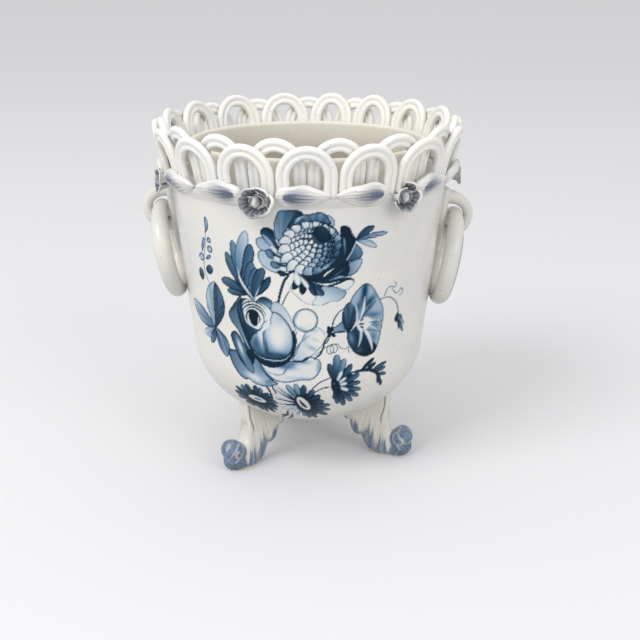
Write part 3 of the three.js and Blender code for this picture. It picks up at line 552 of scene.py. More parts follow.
def paint_rose(wash, oval, glow, stroke, petal):
    """The cabbage rose in the middle: loose outer petals round a ball with a coiled heart."""
    stroke([(-23.7, 54.5), (-22, 51), (-21.2, 46.5)], (1.3, 1.3, 1.1), (0.95, 0.95))
    stroke([(-20.3, 55), (-19.2, 52), (-18.4, 50.5)], (1.0, 1.0), (0.95, 0.95))
    wash([(-25.5, 100), (-23, 102.2), (-20, 102.3), (-17.5, 100.8), (-16.5, 98), (-21, 96), (-26, 97)],
         0.98, 0.3, toward=275, power=0.8)
    wash([(-17.5, 99.5), (-14.5, 100.4), (-12, 98.7), (-9.5, 95.2), (-7.5, 91), (-6, 87), (-5.4, 84),
          (-8, 82), (-10, 89), (-14, 94), (-18, 95)], 0.3, 0.12, toward=300, rim=0.3, rim_width=0.3)
    wash([(-34, 101), (-37.5, 98), (-40, 95), (-42.6, 91.5), (-42.3, 88), (-40, 85), (-38, 83), (-34, 76),
          (-30, 72), (-28, 80), (-30, 92)], 0.66, 0.32, toward=310, rim=0.25, power=1.4)
    glow((-38.5, 96), (1.2, 3.5), 0.9, 0.8, lean=-0.6)
    wash([(-31, 100.6), (-35, 99), (-37, 94), (-36, 87), (-33, 78), (-30, 71.5), (-28, 76), (-29, 84),
          (-31.5, 92), (-31, 97)], 0.8, 0.97, toward=250, rim=0.15, streaks=0.08, root=(-30, 70), count=20)
    wash([(-8, 70), (-6, 74), (-3.5, 80), (-1, 85), (3, 87.6), (6, 87.3), (8.7, 84), (8.6, 80), (6, 76),
          (2, 72), (-3, 69.5)], 0.45, 0.0, toward=35, rim=0.42, rim_width=0.3, power=0.45)
    glow((2.5, 76.5), (3.6, 1.2), 0.42, 0.8, lean=-0.5)
    glow((4, 81), (2.6, 0.8), 0.3, 0.8, lean=-0.6)
    stroke([(-7.5, 72), (-5, 77.5), (-1.5, 81.5), (2, 83.5)], (0.6, 0.9, 0.4), (0.8, 0.5, 0.25))
    glow((-2.5, 83), (2.4, 3.4), 0.45, 0.8)
    glow((3, 86), (3, 1.4), 0.35, 0.8)
    oval((-0.9, 91.3), (6.3, 6.3), 0.0, 0.06, rim=0.5, rim_width=0.8)
    glow((-5.6, 94), (1.2, 3), 0.45, 0.8, lean=-0.4)
    glow((-3.6, 86.6), (3.4, 1.6), 0.4, 0.8)
    wash([(-7.6, 85.5), (-6, 84), (-5.4, 80), (-6.3, 76), (-8.6, 72), (-9.5, 77)],
         0.97, 0.9, toward=260, rim=0.0)
    wash([(-46, 69), (-45, 65), (-43, 61.5), (-39.5, 57.5), (-36, 56), (-33.5, 56.4), (-30, 54.3),
          (-25, 53.6), (-20, 54.4), (-16.6, 56.2), (-20, 59.5), (-22, 66), (-27, 71), (-34, 73), (-41, 71.6),
          (-44.8, 71.2)], 0.62, 0.3, toward=335, rim=0.3, rim_width=0.7)
    for patch in (
        ((-30, 58), (5.5, 2.2), 0.08, 0.9, -0.3), ((-21, 57), (3, 1.6), 0.6, 0.8, 0.35),
        ((-26, 65), (2.2, 4), 0.62, 0.7, 0.4),
    ):
        glow(*patch)
    wash([(-42.4, 80.5), (-39.8, 82), (-37, 80), (-35.5, 77), (-33, 73.5), (-31, 67), (-29.6, 61.6),
          (-31.5, 60.6), (-35, 63), (-39, 68), (-41.5, 73.5), (-43, 78)], 0.8, 0.5, toward=290, rim=0.25)
    glow((-37.5, 74), (1.3, 5), 0.12, 0.9, lean=0.35)
    stroke([(-39.8, 70.5), (-37.6, 66.8), (-34.8, 63.9)], (0.8, 1.8, 0.4), (0.95, 0.97, 0.9))
    wash([(-34, 72), (-30, 73.5), (-28.5, 70.5), (-30, 65.5), (-32.5, 68.2)], 0.97, 0.97, rim=0.0)
    stroke([(-41.8, 88), (-37, 82), (-33.4, 75), (-31, 71.5)], (0.3, 0.8, 1.0, 0.6), (0.7, 0.85, 0.95))
    wash([(-27, 69), (-25.2, 65), (-22.5, 61.3), (-18, 58), (-12, 57.2), (-7, 58.2), (-3, 59), (2, 59.3),
          (5.5, 62), (7.4, 66.5), (6, 70.2), (2, 72), (-1.5, 71.3), (-3, 69.6), (-8, 69.5), (-15, 68),
          (-21, 67)], 0.04, 0.12, toward=270, rim=0.5, rim_width=0.6)
    for patch in (
        ((-14, 66.6), (7, 1.8), 0.75, 0.85, -0.12), ((-2, 69), (5, 1.5), 0.5, 0.8),
        ((5.8, 66), (1.3, 4), 0.5, 0.8), ((-4, 60), (7, 0.9), 0.35, 0.8),
        ((-9, 67.5), (3.8, 1.8), 0.62, 0.9, 0.35),
    ):
        glow(*patch)
    for mark in (
        ([(-13.8, 61.6), (-12, 64), (-10.3, 67)], (0.3, 0.9, 0.9), (0.5, 0.5, 0.6)),
        ([(-24.6, 65.3), (-21.5, 62.4), (-17.5, 61.4), (-13.6, 61.7), (-11, 64)],
         (0.3, 0.7, 0.3), (0.5, 0.4, 0.5)),
        ([(-25.8, 66.5), (-24, 62.5), (-20.5, 58.9), (-16.4, 56.2)], (0.5, 0.9, 0.7), (0.85, 0.8, 0.9)),
        ([(-10, 69.2), (-4, 69.3), (-0.5, 70.6), (1.4, 72.2)], (0.8, 1.0, 1.1, 0.3), (0.95, 0.95)),
    ):
        stroke(*mark)
    wash([(-31, 73), (-28, 68.3), (-24, 65.8), (-19, 65), (-14, 66.2), (-9.5, 69.2), (-6.8, 74), (-8, 78),
          (-14, 71), (-22, 70), (-28, 73)], 0.98, 0.95, rim=0.0)
    wash([(-17.5, 95.2), (-14, 93.8), (-10.5, 90.2), (-8.2, 86), (-7.4, 81), (-7.9, 76), (-10, 72.4),
          (-14.5, 70.2), (-20, 69.6), (-26, 70.9), (-30, 74), (-31, 77.5), (-29.5, 81.5), (-26.5, 84.5),
          (-23.5, 86.4), (-20.8, 90)], 0.24, 0.85, toward=262, rim=0.22, rim_width=0.5, power=3.2)
    for patch in (
        ((-27.5, 77), (2.4, 4.5), 0.7, 0.9), ((-24.3, 82.5), (1.5, 6), 0.05, 0.95, 0.12),
        ((-21.9, 76), (1.1, 6), 0.85, 0.9, 0.12), ((-19, 72.2), (3.5, 1.4), 0.8, 0.8, 0.3),
        ((-15.2, 82), (4.6, 7.5), 0.0, 1.0), ((-14, 71.8), (4.8, 1.5), 0.85, 0.8),
        ((-13, 92), (3.5, 2.6), 0.3, 0.8, 0.7),
    ):
        glow(*patch)
    for mark in (
        ([(-18.2, 95.2), (-14, 93.9), (-10.5, 90.3), (-8.2, 86), (-7.4, 81), (-7.9, 76), (-10, 72.5)],
         (0.4, 0.6, 0.6, 0.5), (0.85, 0.9, 0.9)),
        ([(-20.6, 88), (-22.7, 83.5), (-23, 78), (-21.2, 73.4), (-17.5, 71)],
         (0.3, 0.6, 0.7, 0.5), (0.7, 0.85, 0.85)),
        ([(-18.6, 88.5), (-21.3, 85.5), (-22.6, 81), (-22.3, 75.5)], (0.4, 0.9, 0.6), (0.3, 0.45, 0.6)),
        ([(-29.6, 73), (-25, 69.9), (-18, 68.9), (-12, 70), (-8.3, 73.6)],
         (0.2, 0.6, 0.6, 0.2), (0.5, 0.25, 0.4)),
    ):
        stroke(*mark)
    wash([(-33.2, 90), (-31, 87), (-27, 85.6), (-23, 86), (-25.6, 83.2), (-28.6, 81.6), (-30.6, 78.4),
          (-32.6, 82), (-33.5, 86)], 0.7, 0.9, toward=200, rim=0.1)
    wash([(-33.5, 98), (-30, 100.6), (-24, 99.6), (-19.5, 97.4), (-17.4, 94.4), (-18.4, 90.5), (-18.6, 88.5),
          (-22, 86.4), (-25, 84.6), (-29, 85.5), (-32.5, 88), (-33.6, 93)],
         0.1, 0.08, rim=0.45, rim_width=0.35)
    for size, first, last, wide in (
        (8.6, 35, 150, 0.8), (7.1, 15, 165, 0.9), (5.7, -15, 150, 0.9), (4.4, 60, 235, 0.9),
        (3.2, -70, 200, 0.9),
    ):
        turns = np.radians(np.linspace(first, last, 6))
        stroke(list(zip(-27.4 + 0.98 * size * np.cos(turns), 90.6 + 1.02 * size * np.sin(turns))),
               (0.15, wide, wide, 0.15), (0.7, 0.97, 0.7))
    wash([(-30.2, 94.4), (-27.5, 95), (-24.8, 93.8), (-25.4, 90), (-26, 86.9), (-28.5, 86.8), (-30, 89.5)],
         1.0, 1.0, rim=0.0)
    stroke([(-20.3, 90.2), (-22.5, 88.5), (-24.3, 85.6), (-27.5, 83.5)], (0.3, 0.5, 0.3), (0.8, 0.7, 0.6))
    stroke([(-18.9, 89.6), (-20.5, 87.2), (-23.6, 84.6), (-26, 83.2)], (0.8, 1.7, 1.1, 0.3), (0.05, 0.05))


def paint_glory(wash, oval, glow, stroke, petal):
    """The trumpet flower at the right with its bud and tendrils."""
    for mark in (
        ([(3.5, 70.6), (7, 74), (9, 80), (11.2, 84)], (0.8, 1.1, 0.9, 0.7), (0.9, 0.9)),
        ([(7.3, 78), (10, 79.6), (11.4, 83)], (0.5, 0.7, 0.6), (0.85, 0.9)),
        ([(4, 72.5), (8, 76), (12, 78), (15.5, 78.2), (17, 76), (20, 75.3), (21.3, 76.3), (21.6, 73.6),
          (23, 73)], (0.4, 0.5, 0.4, 0.25), (0.6, 0.7, 0.6)),
    ):
        stroke(*mark)
    for x, y in ((11.8, 75.4), (13.6, 75.8)):
        turns = np.linspace(0, 2 * math.pi, 9)
        stroke(list(zip(x + 1.9 * np.cos(turns), y + 2.3 * np.sin(turns))), (0.45, 0.45), (0.75, 0.7))
    stroke([(12.3, 87), (13.2, 91), (15.5, 94.8), (18.2, 96.6)], (0.8, 0.7, 0.5), (0.8, 0.85))
    wash([(11.5, 87.2), (14, 87.6), (18, 90.2), (19, 88), (19.2, 84.6), (14, 84.2)],
         0.42, 0.5, toward=0, rim=0.3)
    stroke([(13, 84.1), (17, 84.6), (20.5, 84.2)], (0.5, 0.7, 0.4), (0.9, 0.9))
    for tip in ((10.3, 88), (9.6, 85.5), (14.3, 82), (10.4, 82), (12.6, 87.3)):
        petal((11.8, 84.4), tip, 1.0, 1.0, 1.0, rim=0.0)
    # the open mouth: one disc of five joined petals
    wash([(21, 99.5), (24, 105), (28, 108.4), (32, 107.3), (36, 102), (38.5, 98), (40.6, 93.5), (41, 88),
          (40.2, 81), (39.3, 76), (37.8, 72), (35, 70), (30.5, 69.6), (25.5, 72), (22, 76.5), (20.2, 82),
          (21, 90)], 0.4, 0.32, toward=20, rim=0.25, rim_width=0.5)
    for patch in (
        ((28.6, 104), (1.6, 6.5), 0.95, 0.95, -0.05), ((31.5, 98.5), (4.2, 1.8), 0.85, 0.9, 0.75),
        ((25.8, 97), (1.4, 4), 0.75, 0.8, -0.3), ((34, 91.5), (5.5, 1.6), 0.62, 0.9, -0.1),
        ((36.5, 86), (3, 1.3), 0.6, 0.8, -0.35), ((35.5, 79.5), (2, 3), 0.6, 0.8, 0.35),
    ):
        glow(*patch)
    wash([(26, 86.5), (20.6, 84.5), (20.8, 79), (23, 75), (26.5, 71.6), (31, 69.9), (36, 70.4), (38.2, 74),
          (35, 77.5), (31, 81), (29, 84)], 0.8, 1.0, toward=315, rim=0.1)
    glow((22.8, 80.5), (1.5, 3.6), 0.5, 0.9, lean=0.35)
    glow((28, 73.5), (1.8, 1.2), 0.6, 0.6)
    for tip, half, near, bow in (
        ((28.9, 102.5), 0.95, 0.05, -0.8), ((35.6, 98.6), 1.0, 0.3, 0.6), ((41, 87.3), 1.0, 0.08, 0.7),
        ((39.4, 81.6), 0.9, 0.1, 1.0), ((35.8, 71.6), 1.15, 0.02, 1.6), ((26.6, 74.6), 1.0, 0.15, 1.6),
    ):
        petal((26.6, 87.8), tip, half, near, near + 0.1, bow=bow, rim=0.3, rim_width=0.22, full=0.45,
              sharp=1.3)
    petal((26, 88.5), (34, 97.5), 0.5, 0.5, 0.3)
    wash([(25, 88), (28, 90.6), (31.5, 90.8), (34.5, 88), (31, 84.2), (27.5, 83.4)], 0.03, 0.06, rim=0.12)
    stroke([(30.5, 87.4), (35.5, 87.8), (40.8, 87)], (0.2, 0.4, 0.2), (0.8, 0.6))
    stroke([(29, 84.2), (34, 83.4), (39.6, 81.6)], (0.2, 0.5, 0.2), (0.8, 0.6))
    for root, tip in (((27, 89), (29, 90.2)), ((26.3, 87.6), (29.5, 87.3)), ((27, 86.6), (29.3, 85.2))):
        petal(root, tip, 0.5, 0.9, 0.95, rim=0.0)
    petal((21, 83.9), (21.2, 99.8), 3.9, 0.98, 0.62, full=0.52, rim=0.2, toward=100)
    glow((20.3, 92), (1.1, 5), 0.66, 0.6)
    for mark in (
        ([(21.8, 99.8), (24.6, 96.4), (25.2, 91), (24.4, 87), (22.2, 84.4)],
         (0.4, 1.0, 1.0, 0.8, 0.3), (0.4, 0.2, 0.1)),
        ([(37.4, 98.9), (43, 99.3), (48, 96.3), (50.4, 92.5), (51.5, 89)],
         (0.6, 0.6, 0.7, 0.8), (0.66, 0.7, 0.8)),
        ([(40.4, 100.2), (42, 103.8), (44, 104.6), (47, 103.8), (47.6, 105.4), (46, 106.6)],
         (0.6, 0.5), (0.62, 0.55)),
        ([(45, 103.5), (47.5, 100.6), (50, 100.8), (51.4, 102.3), (53, 100.8), (52, 98.8), (50.4, 99)],
         (0.5, 0.6, 0.5), (0.6, 0.55)),
    ):
        stroke(*mark)
    for base, tip, half, near in (
        ((50.6, 88.6), (55, 85.6), 1.2, 0.7), ((52, 87), (57.4, 81.8), 1.0, 0.5),
        ((51, 86.6), (57, 78), 1.1, 0.75), ((51, 87.5), (53.6, 79.8), 0.8, 0.9),
    ):
        petal(base, tip, half, near, near - 0.25, rim=0.25)
    petal((50.8, 89.4), (50.2, 84.4), 1.5, 0.98, 0.95, rim=0.0)


def paint_daisies(wash, oval, glow, stroke, petal):
    """The three daisies at the foot of the bouquet and the leaf sprig beside them."""
    for mark in (
        ([(2.5, 54), (6.5, 57.6), (12, 60)], (0.7, 0.6), (0.95, 0.9)),
        ([(4, 51.6), (8, 54), (12, 54.7)], (0.7, 0.7), (0.95, 0.9)),
        ([(-13.5, 35.5), (-16, 29), (-20.5, 24), (-27, 17)], (0.9, 2.2, 2.4, 0.8), (1.0, 0.95, 0.9)),
        ([(-11, 31.5), (-13.5, 25), (-17, 20.5), (-22, 14)], (0.8, 2.2, 2.2, 0.8), (1.0, 0.95, 0.9)),
        ([(-14, 28), (-18, 28.5), (-22, 26)], (0.8, 2.0, 0.6), (1.0, 0.95)),
    ):
        stroke(*mark)
    # left daisy
    oval((-31.5, 41.5), (11, 8.5), 1.0, 1.0, rim=0.0)
    for k in range(17):
        turn = 2 * math.pi * k / 17 + 0.06 * math.sin(9 * k)
        long = 11.5 - 1.8 * math.sin(turn) + 1.0 * math.sin(5 * k)
        base = (-32.5 + 3.5 * math.cos(turn), 42.8 + 1.8 * math.sin(turn))
        long = long + 2.5 * max(0, math.cos(turn - 2.5)) ** 3
        petal(base, (-32.5 + (long + 3.0) * math.cos(turn), 42.6 + long * math.sin(turn)), 1.9, 1.0,
              0.74 - 0.2 * (k % 3 == 0), full=0.68, rim=0.05, streaks=0.1, count=7)
    oval((-32.4, 43), (6.1, 2.6), 0.03, 0.05, lean=-0.2, rim=0.3, rim_width=0.3)
    oval((-32, 42.9), (2.6, 0.9), 0.5, 0.3, lean=-0.15, rim=0.2)
    # middle daisy
    heart = np.array((-2.7, 42.5))
    oval((1.5, 40.5), (8.5, 11), 1.0, 0.95, lean=0.5, rim=0.0)
    for tip, half, near, far in (
        ((-18.3, 54.5), 1.6, 0.3, 0.0), ((-20.4, 49.4), 1.6, 0.3, 0.0), ((-20.2, 44), 1.8, 0.15, 0.0),
        ((-19, 40), 1.7, 0.15, 0.0), ((-17.4, 36.8), 1.5, 0.2, 0.0), ((-13.8, 32.5), 1.8, 0.3, 0.05),
        ((-11.8, 56), 1.8, 0.75, 0.35), ((-7, 57), 1.8, 0.7, 0.35), ((-2.2, 56.4), 1.8, 0.95, 0.66),
        ((3.2, 53.5), 1.9, 1.0, 0.6), ((7.2, 49.6), 1.9, 1.0, 0.72), ((9.6, 45), 1.8, 1.0, 0.7),
        ((14, 41), 1.8, 0.95, 0.6), ((15, 35.5), 1.8, 0.95, 0.55), ((14.6, 28.4), 2.2, 0.95, 0.6),
        ((7, 23.5), 1.9, 0.95, 0.66), ((1.6, 23.8), 1.9, 0.95, 0.6), ((-2.6, 27.5), 1.7, 0.9, 0.4),
        ((-8, 29.5), 1.3, 0.5, 0.25),
    ):
        way = np.array(tip) - heart
        petal(heart + 4.6 * way / np.linalg.norm(way), tip, half, near, far, full=0.66,
              rim=0.3, rim_width=0.3, streaks=0.05, count=6)
    for tip in ((-18.3, 52), (-19.5, 46.2), (-17.5, 41), (-17, 54)):
        way = np.array(tip) - heart
        stroke([heart + 4.5 * way / np.linalg.norm(way), heart + 0.6 * way, heart + way],
               (1.5, 0.9, 0.3), (1.0, 0.95, 0.8))
    oval((-2.4, 42.5), (5.0, 8.0), 1.0, 1.0, lean=0.52, rim=0.0)
    oval((-2.5, 42.6), (3.2, 6.7), 0.03, 0.03, lean=0.52, rim=0.35, rim_width=0.35)
    petal((-5, 46.4), (-0.4, 39), 1.0, 0.95, 0.9, bow=-0.5, rim=0.0)
    # right daisy
    heart = np.array((15.5, 55))
    oval((20, 55), (6, 8.5), 0.98, 0.98, rim=0.0)
    for tip, half, near, far in (
        ((11, 68), 1.8, 0.95, 0.7), ((15.3, 72.6), 2.3, 0.9, 0.45), ((19.6, 70), 2.0, 0.85, 0.4),
        ((24, 66.5), 1.9, 0.98, 0.66), ((28.8, 60.5), 1.8, 0.98, 0.6), ((30, 55.5), 1.6, 0.98, 0.6),
        ((31.4, 50.5), 1.6, 0.98, 0.55), ((31, 45.8), 1.6, 0.98, 0.55), ((28, 42), 1.6, 0.98, 0.5),
        ((23.5, 39), 1.8, 0.98, 0.6), ((18.5, 41.5), 1.7, 0.98, 0.66), ((15.6, 46), 1.5, 0.98, 0.7),
    ):
        petal(heart + 0.12 * (tip - heart), tip, half, near, far, full=0.7, rim=0.25, rim_width=0.3,
              streaks=0.06, count=6)
    for tip, half in (((18.6, 63.4), 1.2), ((21.2, 59.5), 1.0), ((22, 56), 1.2), ((23.4, 51.2), 1.2)):
        petal((15, 55.5), tip, half, 0.4, 0.0, full=0.68, rim=0.3, rim_width=0.25)
    petal((13, 60.4), (17.2, 49.5), 2.6, 1.0, 0.95, bow=0.3, rim=0.0)
    glow((14.4, 56.5), (0.4, 0.5), 0.4, 0.8)
    # leaf sprig
    stroke([(22, 61.5), (28, 62), (35, 61.6), (41, 58), (44.5, 51)],
           (0.8, 1.6, 2.0, 2.2, 0.9), (0.8, 0.9, 0.9, 0.8))
    for base, tip, half, near in (
        ((29, 62), (37.5, 68), 1.3, 0.95), ((32, 61.8), (38.8, 65), 1.2, 0.9),
        ((36, 61), (46.2, 64), 1.3, 0.75), ((39, 60), (46, 61.3), 1.2, 0.7), ((41, 58.5), (47, 57), 1.1, 0.7),
        ((42, 56), (45.6, 50), 1.2, 0.9), ((40, 59), (42.3, 52), 0.9, 0.9),
    ):
        petal(base, tip, half, near, near - 0.1, full=0.6, sharp=1.4, rim=0.2)


# The painted stretch of the wall has fine rows and columns, and the rest has coarse ones.
fine_step, side_step, back_columns = 0.5 * mm, 1.0 * mm, 42
paint_turn, side_turn = 59 * mm / paint_radius, 78 * mm / paint_radius
paint_low_share, axis_gap, ledge_round = 0.36, 0.01 * mm, 0.6 * mm
broad_throwing, fine_throwing, throwing_room = 0.12 * mm, 0.07 * mm, 0.15 * mm
outside_bowl = bowl_arc(0, 220)
bowl_length = distances_along(outside_bowl)[-1]
paint_from = paint_low_share * bowl_length
bowl_rows = places_along(outside_bowl, np.concatenate([np.linspace(0, paint_from, 10)[:-1],
                                                       np.arange(paint_from, bowl_length, fine_step)]))
bowl_rows[0, 0] = axis_gap
side_rows = line_rows(outside_bowl[-1], (ledge_foot_radius, ledge_foot_height), step=fine_step)
ledge_rows = line_rows(
    (ledge_foot_radius + 0.3 * mm, ledge_foot_height + 0.5 * mm),
    (ledge_radius - 0.5 * mm, ledge_top_height - 0.8 * mm), (ledge_radius, ledge_top_height - 0.1 * mm),
    (ledge_radius - ledge_round, ledge_top_height), (neck_radius + ledge_round, ledge_top_height),
    (neck_radius, ledge_top_height + ledge_round), step=2.4 * mm)
neck_rows = line_rows((neck_radius, ledge_top_height + 1.5 * mm), (neck_radius, lip_height - 2 * mm),
                      step=8 * mm)
lip_turns = np.linspace(0.15, math.pi - 0.15, 7)
lip_rows = np.stack([neck_radius - neck_wall / 2 + neck_wall / 2 * np.cos(lip_turns),
                     lip_height - neck_wall / 2 + neck_wall / 2 * np.sin(lip_turns)], axis=-1)
inside_bowl = bowl_arc(-wall_thickness, 16)[::-1]
inside_bowl[-1, 0] = axis_gap
neck_inside = neck_radius - neck_wall
shoulder_radius, shoulder_height = ledge_foot_radius - wall_thickness, ledge_foot_height - wall_thickness
profile = np.concatenate([
    bowl_rows, side_rows, ledge_rows, neck_rows, lip_rows,
    line_rows((neck_inside, lip_height - 2 * mm), (neck_inside, ledge_top_height), step=9 * mm),
    line_rows((neck_inside + 1.5 * mm, ledge_top_height - 2 * mm), (shoulder_radius, shoulder_height),
              step=3 * mm),
    line_rows((shoulder_radius, shoulder_height - 2 * mm), inside_bowl[0], step=16 * mm)[:-1],
    inside_bowl,
])
columns = np.concatenate([np.arange(-side_turn, -paint_turn, side_step / paint_radius),
                          np.arange(-paint_turn, paint_turn, fine_step / paint_radius),
                          np.linspace(paint_turn, 2 * math.pi - side_turn, back_columns)[:-1]])
radii, turns = np.meshgrid(profile[:, 0], columns, indexing="ij")
heights = np.broadcast_to(profile[:, 1:2], radii.shape)
throwing = broad_throwing * np.sin(2 * turns + 0.7) * np.sin(heights / (21 * mm))
throwing = throwing + fine_throwing * np.sin(3 * turns + heights / (11 * mm))
throwing = throwing * (radii > 20 * mm) * (heights < ledge_foot_height)
pot_rows = polar(turns, radii - throwing_room + throwing, heights)

# The bouquet lies on the front of the outer wall, where its heights run along the wall and agree
# with true heights at the ledge's foot. From the neck inwards the glaze is tinted cream: painted
# shade for the neck and the inside, which lie behind the gallery.
outer_count = len(bowl_rows) + len(side_rows)
outer_run = distances_along(profile[:outer_count])
tint = np.ones(pot_rows.shape)
on_front = columns < paint_turn
across, up = np.meshgrid(columns[on_front] * paint_radius, ledge_foot_height - (outer_run[-1] - outer_run))
tint[:outer_count, on_front] = bouquet(across / mm, up / mm)
tint[outer_count + len(ledge_rows):] = (0.985, 0.955, 0.885)

pot = skin("pot", pot_rows, tint)
pot.data.materials.append(white_glaze)
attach(pot, "root")
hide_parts("pot_body")

# Gallery
#
# Thirty-two ribbons of clay, each rolled with two round beads and bent to an arch, stand on the
# ledge in two rows half a step apart: the row behind is taller and shows through the row in front.

arch_count = 16
arch_pitch = 2 * math.pi / arch_count
bead_radius, bead_apart = 1.7 * mm, 3.1 * mm
ribbon_width = bead_apart + 2 * bead_radius
gallery_flare = math.radians(13.2)
row_inset, row_gap, leg_sink = 1.9 * mm, 0.4 * mm, 0.3 * mm
outer_row_radius = ledge_radius - row_inset
row_spacing = (2 * bead_radius + row_gap) / math.cos(gallery_flare)
arch_gap, arch_rise = 0.4 * mm, 16 * mm
outer_arch_height, inner_arch_height = 25.2 * mm, 28.2 * mm
gallery_dip = 1.1 * mm
drift, drift_reach, drift_angle = math.radians(7), math.radians(70), math.radians(102)
groove_width, groove_fill = 0.55 * mm, 0.12 * mm
hand, hand_shifts = np.random.default_rng(7), (0.2 * mm, 0.25 * mm, 0.1 * mm)


def gallery_radius(row_radius, height):
    """Radius of a row's middle surface, a cone that widens upwards from the ledge."""
    return row_radius + (height - ledge_top_height) * math.tan(gallery_flare)


def laid_angle(angle):
    """Angle where an evenly spaced arch really stands: the row drifts round a little on one side,
    by a parabola over the angle from the middle of the drift."""
    away = abs(angle % (2 * math.pi) - drift_angle)
    return angle + drift * max(0.0, 1 - (away / drift_reach) ** 2)


def ribbon_section(samples):
    """Outline across the ribbon: the two beads as arcs that meet in a groove on each face, the
    grooves filled a little by glaze. Returns distances across and out."""
    meet = math.pi - math.acos(bead_apart / 2 / bead_radius)
    arc = np.linspace(-meet, meet, samples)
    across, out = bead_apart / 2 + bead_radius * np.cos(arc), bead_radius * np.sin(arc)
    out = out + np.exp(-(across / groove_width) ** 2) * np.sign(out) * groove_fill
    return np.concatenate([across, -across[::-1]]), np.concatenate([out, out[::-1]])


def unit(vectors):
    """Vectors of a path brought to length 1."""
    return vectors / np.linalg.norm(vectors, axis=1, keepdims=True)


def ribbon_arch(name, even_angle, row_radius, arch_height):
    """The section carried up one leg, over an elliptical crown and down the other leg, on the
    row's cone. Small random shifts stand for bending by hand."""
    start, end = laid_angle(even_angle - arch_pitch / 2), laid_angle(even_angle + arch_pitch / 2)
    centre = (start + end) / 2
    spring = ledge_top_height + arch_height - gallery_dip * math.cos(centre) - arch_rise
    lean, lift, sway = hand.uniform(-1, 1, 3) * hand_shifts
    legs = np.linspace(ledge_top_height - leg_sink, spring, 7)[:-1]
    crown_turns = np.linspace(0, math.pi, 33)
    crown = spring + (arch_rise - ribbon_width / 2) * np.sin(crown_turns)
    heights = np.concatenate([legs, crown, legs[::-1]])
    sides = np.concatenate([-np.ones(len(legs)), -np.cos(crown_turns), np.ones(len(legs))])
    sides = sides * ((end - start) / 2 - (ribbon_width + arch_gap) / 2 / gallery_radius(row_radius, heights))
    above = np.clip((heights - ledge_top_height) / arch_height, 0, 1)
    angles = centre + sides + sway * above / row_radius
    path = polar(angles, gallery_radius(row_radius, heights) + lean * above, heights + lift * above)
    out = polar(angles, math.cos(gallery_flare), -math.sin(gallery_flare))
    across = unit(np.cross(unit(np.gradient(path, axis=0)), out))
    wide, thick = ribbon_section(9)
    arch = skin(name, path[:, None] + across[:, None] * wide[:, None] + out[:, None] * thick[:, None])
    arch.data.materials.append(gallery_glaze)
    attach(arch, "root")
    return arch


# The arches' glaze is lighter than the pot's: painted light for the gallery, lit from above and in front
gallery_glaze = glaze("gallery_glaze", (0.81, 0.80, 0.76), 0.2, speckle=0.3)
for i in range(arch_count):
    outer = ribbon_arch(f"outer_ribbon_{i + 1:02d}", i * arch_pitch, outer_row_radius, outer_arch_height)
    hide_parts(f"outer_arch_{i + 1:02d}")
    inner_row_radius, inner_angle = outer_row_radius - row_spacing, (i + 0.5) * arch_pitch
    inner = ribbon_arch(f"inner_ribbon_{i + 1:02d}", inner_angle, inner_row_radius, inner_arch_height)
    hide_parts(f"inner_arch_{i + 1:02d}")

# Garland
#
# Six small roses of pinched petals, with two leaves between each and the next, hide the seam under
# the gallery. They are pressed from soft clay, stuck on with slip and washed with blue.

rose_count = 6
garland_middle, garland_crowding = math.radians(9.6), math.radians(6)
rose_height, rose_lift = ledge_top_height - 2.2 * mm, math.radians(4)
rose_radius, rose_depth, rose_flatness = 8.4 * mm, 6.8 * mm, 0.82
leaf_height, leaf_width, leaf_thickness = ledge_top_height + 0.2 * mm, 12 * mm, 2.8 * mm
leaf_lap = 7 * mm
leaf_end_room, leaf_shift = 0.025, 0.01
leaf_wave, leaf_ridge, leaf_fold = 0.5 * mm, 0.13 * mm, 0.25 * mm
leaf_edge, leaf_sunk = 0.08 * mm, 0.8 * mm
bud_across, bud_out, bud_left, ring_step = 2.4 * mm, 0.6 * mm, 0.5 * mm, 0.3 * mm


def garland_angle(share):
    """Angle of a rose or of a place between two roses: even spacing, crowded a little at the front."""
    even = 2 * math.pi * share / rose_count
    return garland_middle + even - garland_crowding * math.sin(even)


def wall_radius(height):
    """Radius of the straight side and of the ledge's flare at a height, by straight lines."""
    return np.interp(height, [outside_bowl[-1][1], ledge_foot_height, ledge_top_height],
                     [outside_bowl[-1][0], ledge_foot_radius, ledge_radius])


def garland_back(height):
    """Radius of what lies behind the garland: the wall up to the ledge, then the front arches."""
    arches = gallery_radius(outer_row_radius, height) + bead_radius / math.cos(gallery_flare)
    return np.where(height < ledge_top_height, wall_radius(height), arches)


def washed(depth, pigment):
    """Tint that is white where the depth of the wash is 0 and the pigment's colour where it is 1."""
    return 1 - depth[..., None] * (1 - np.array(pigment))


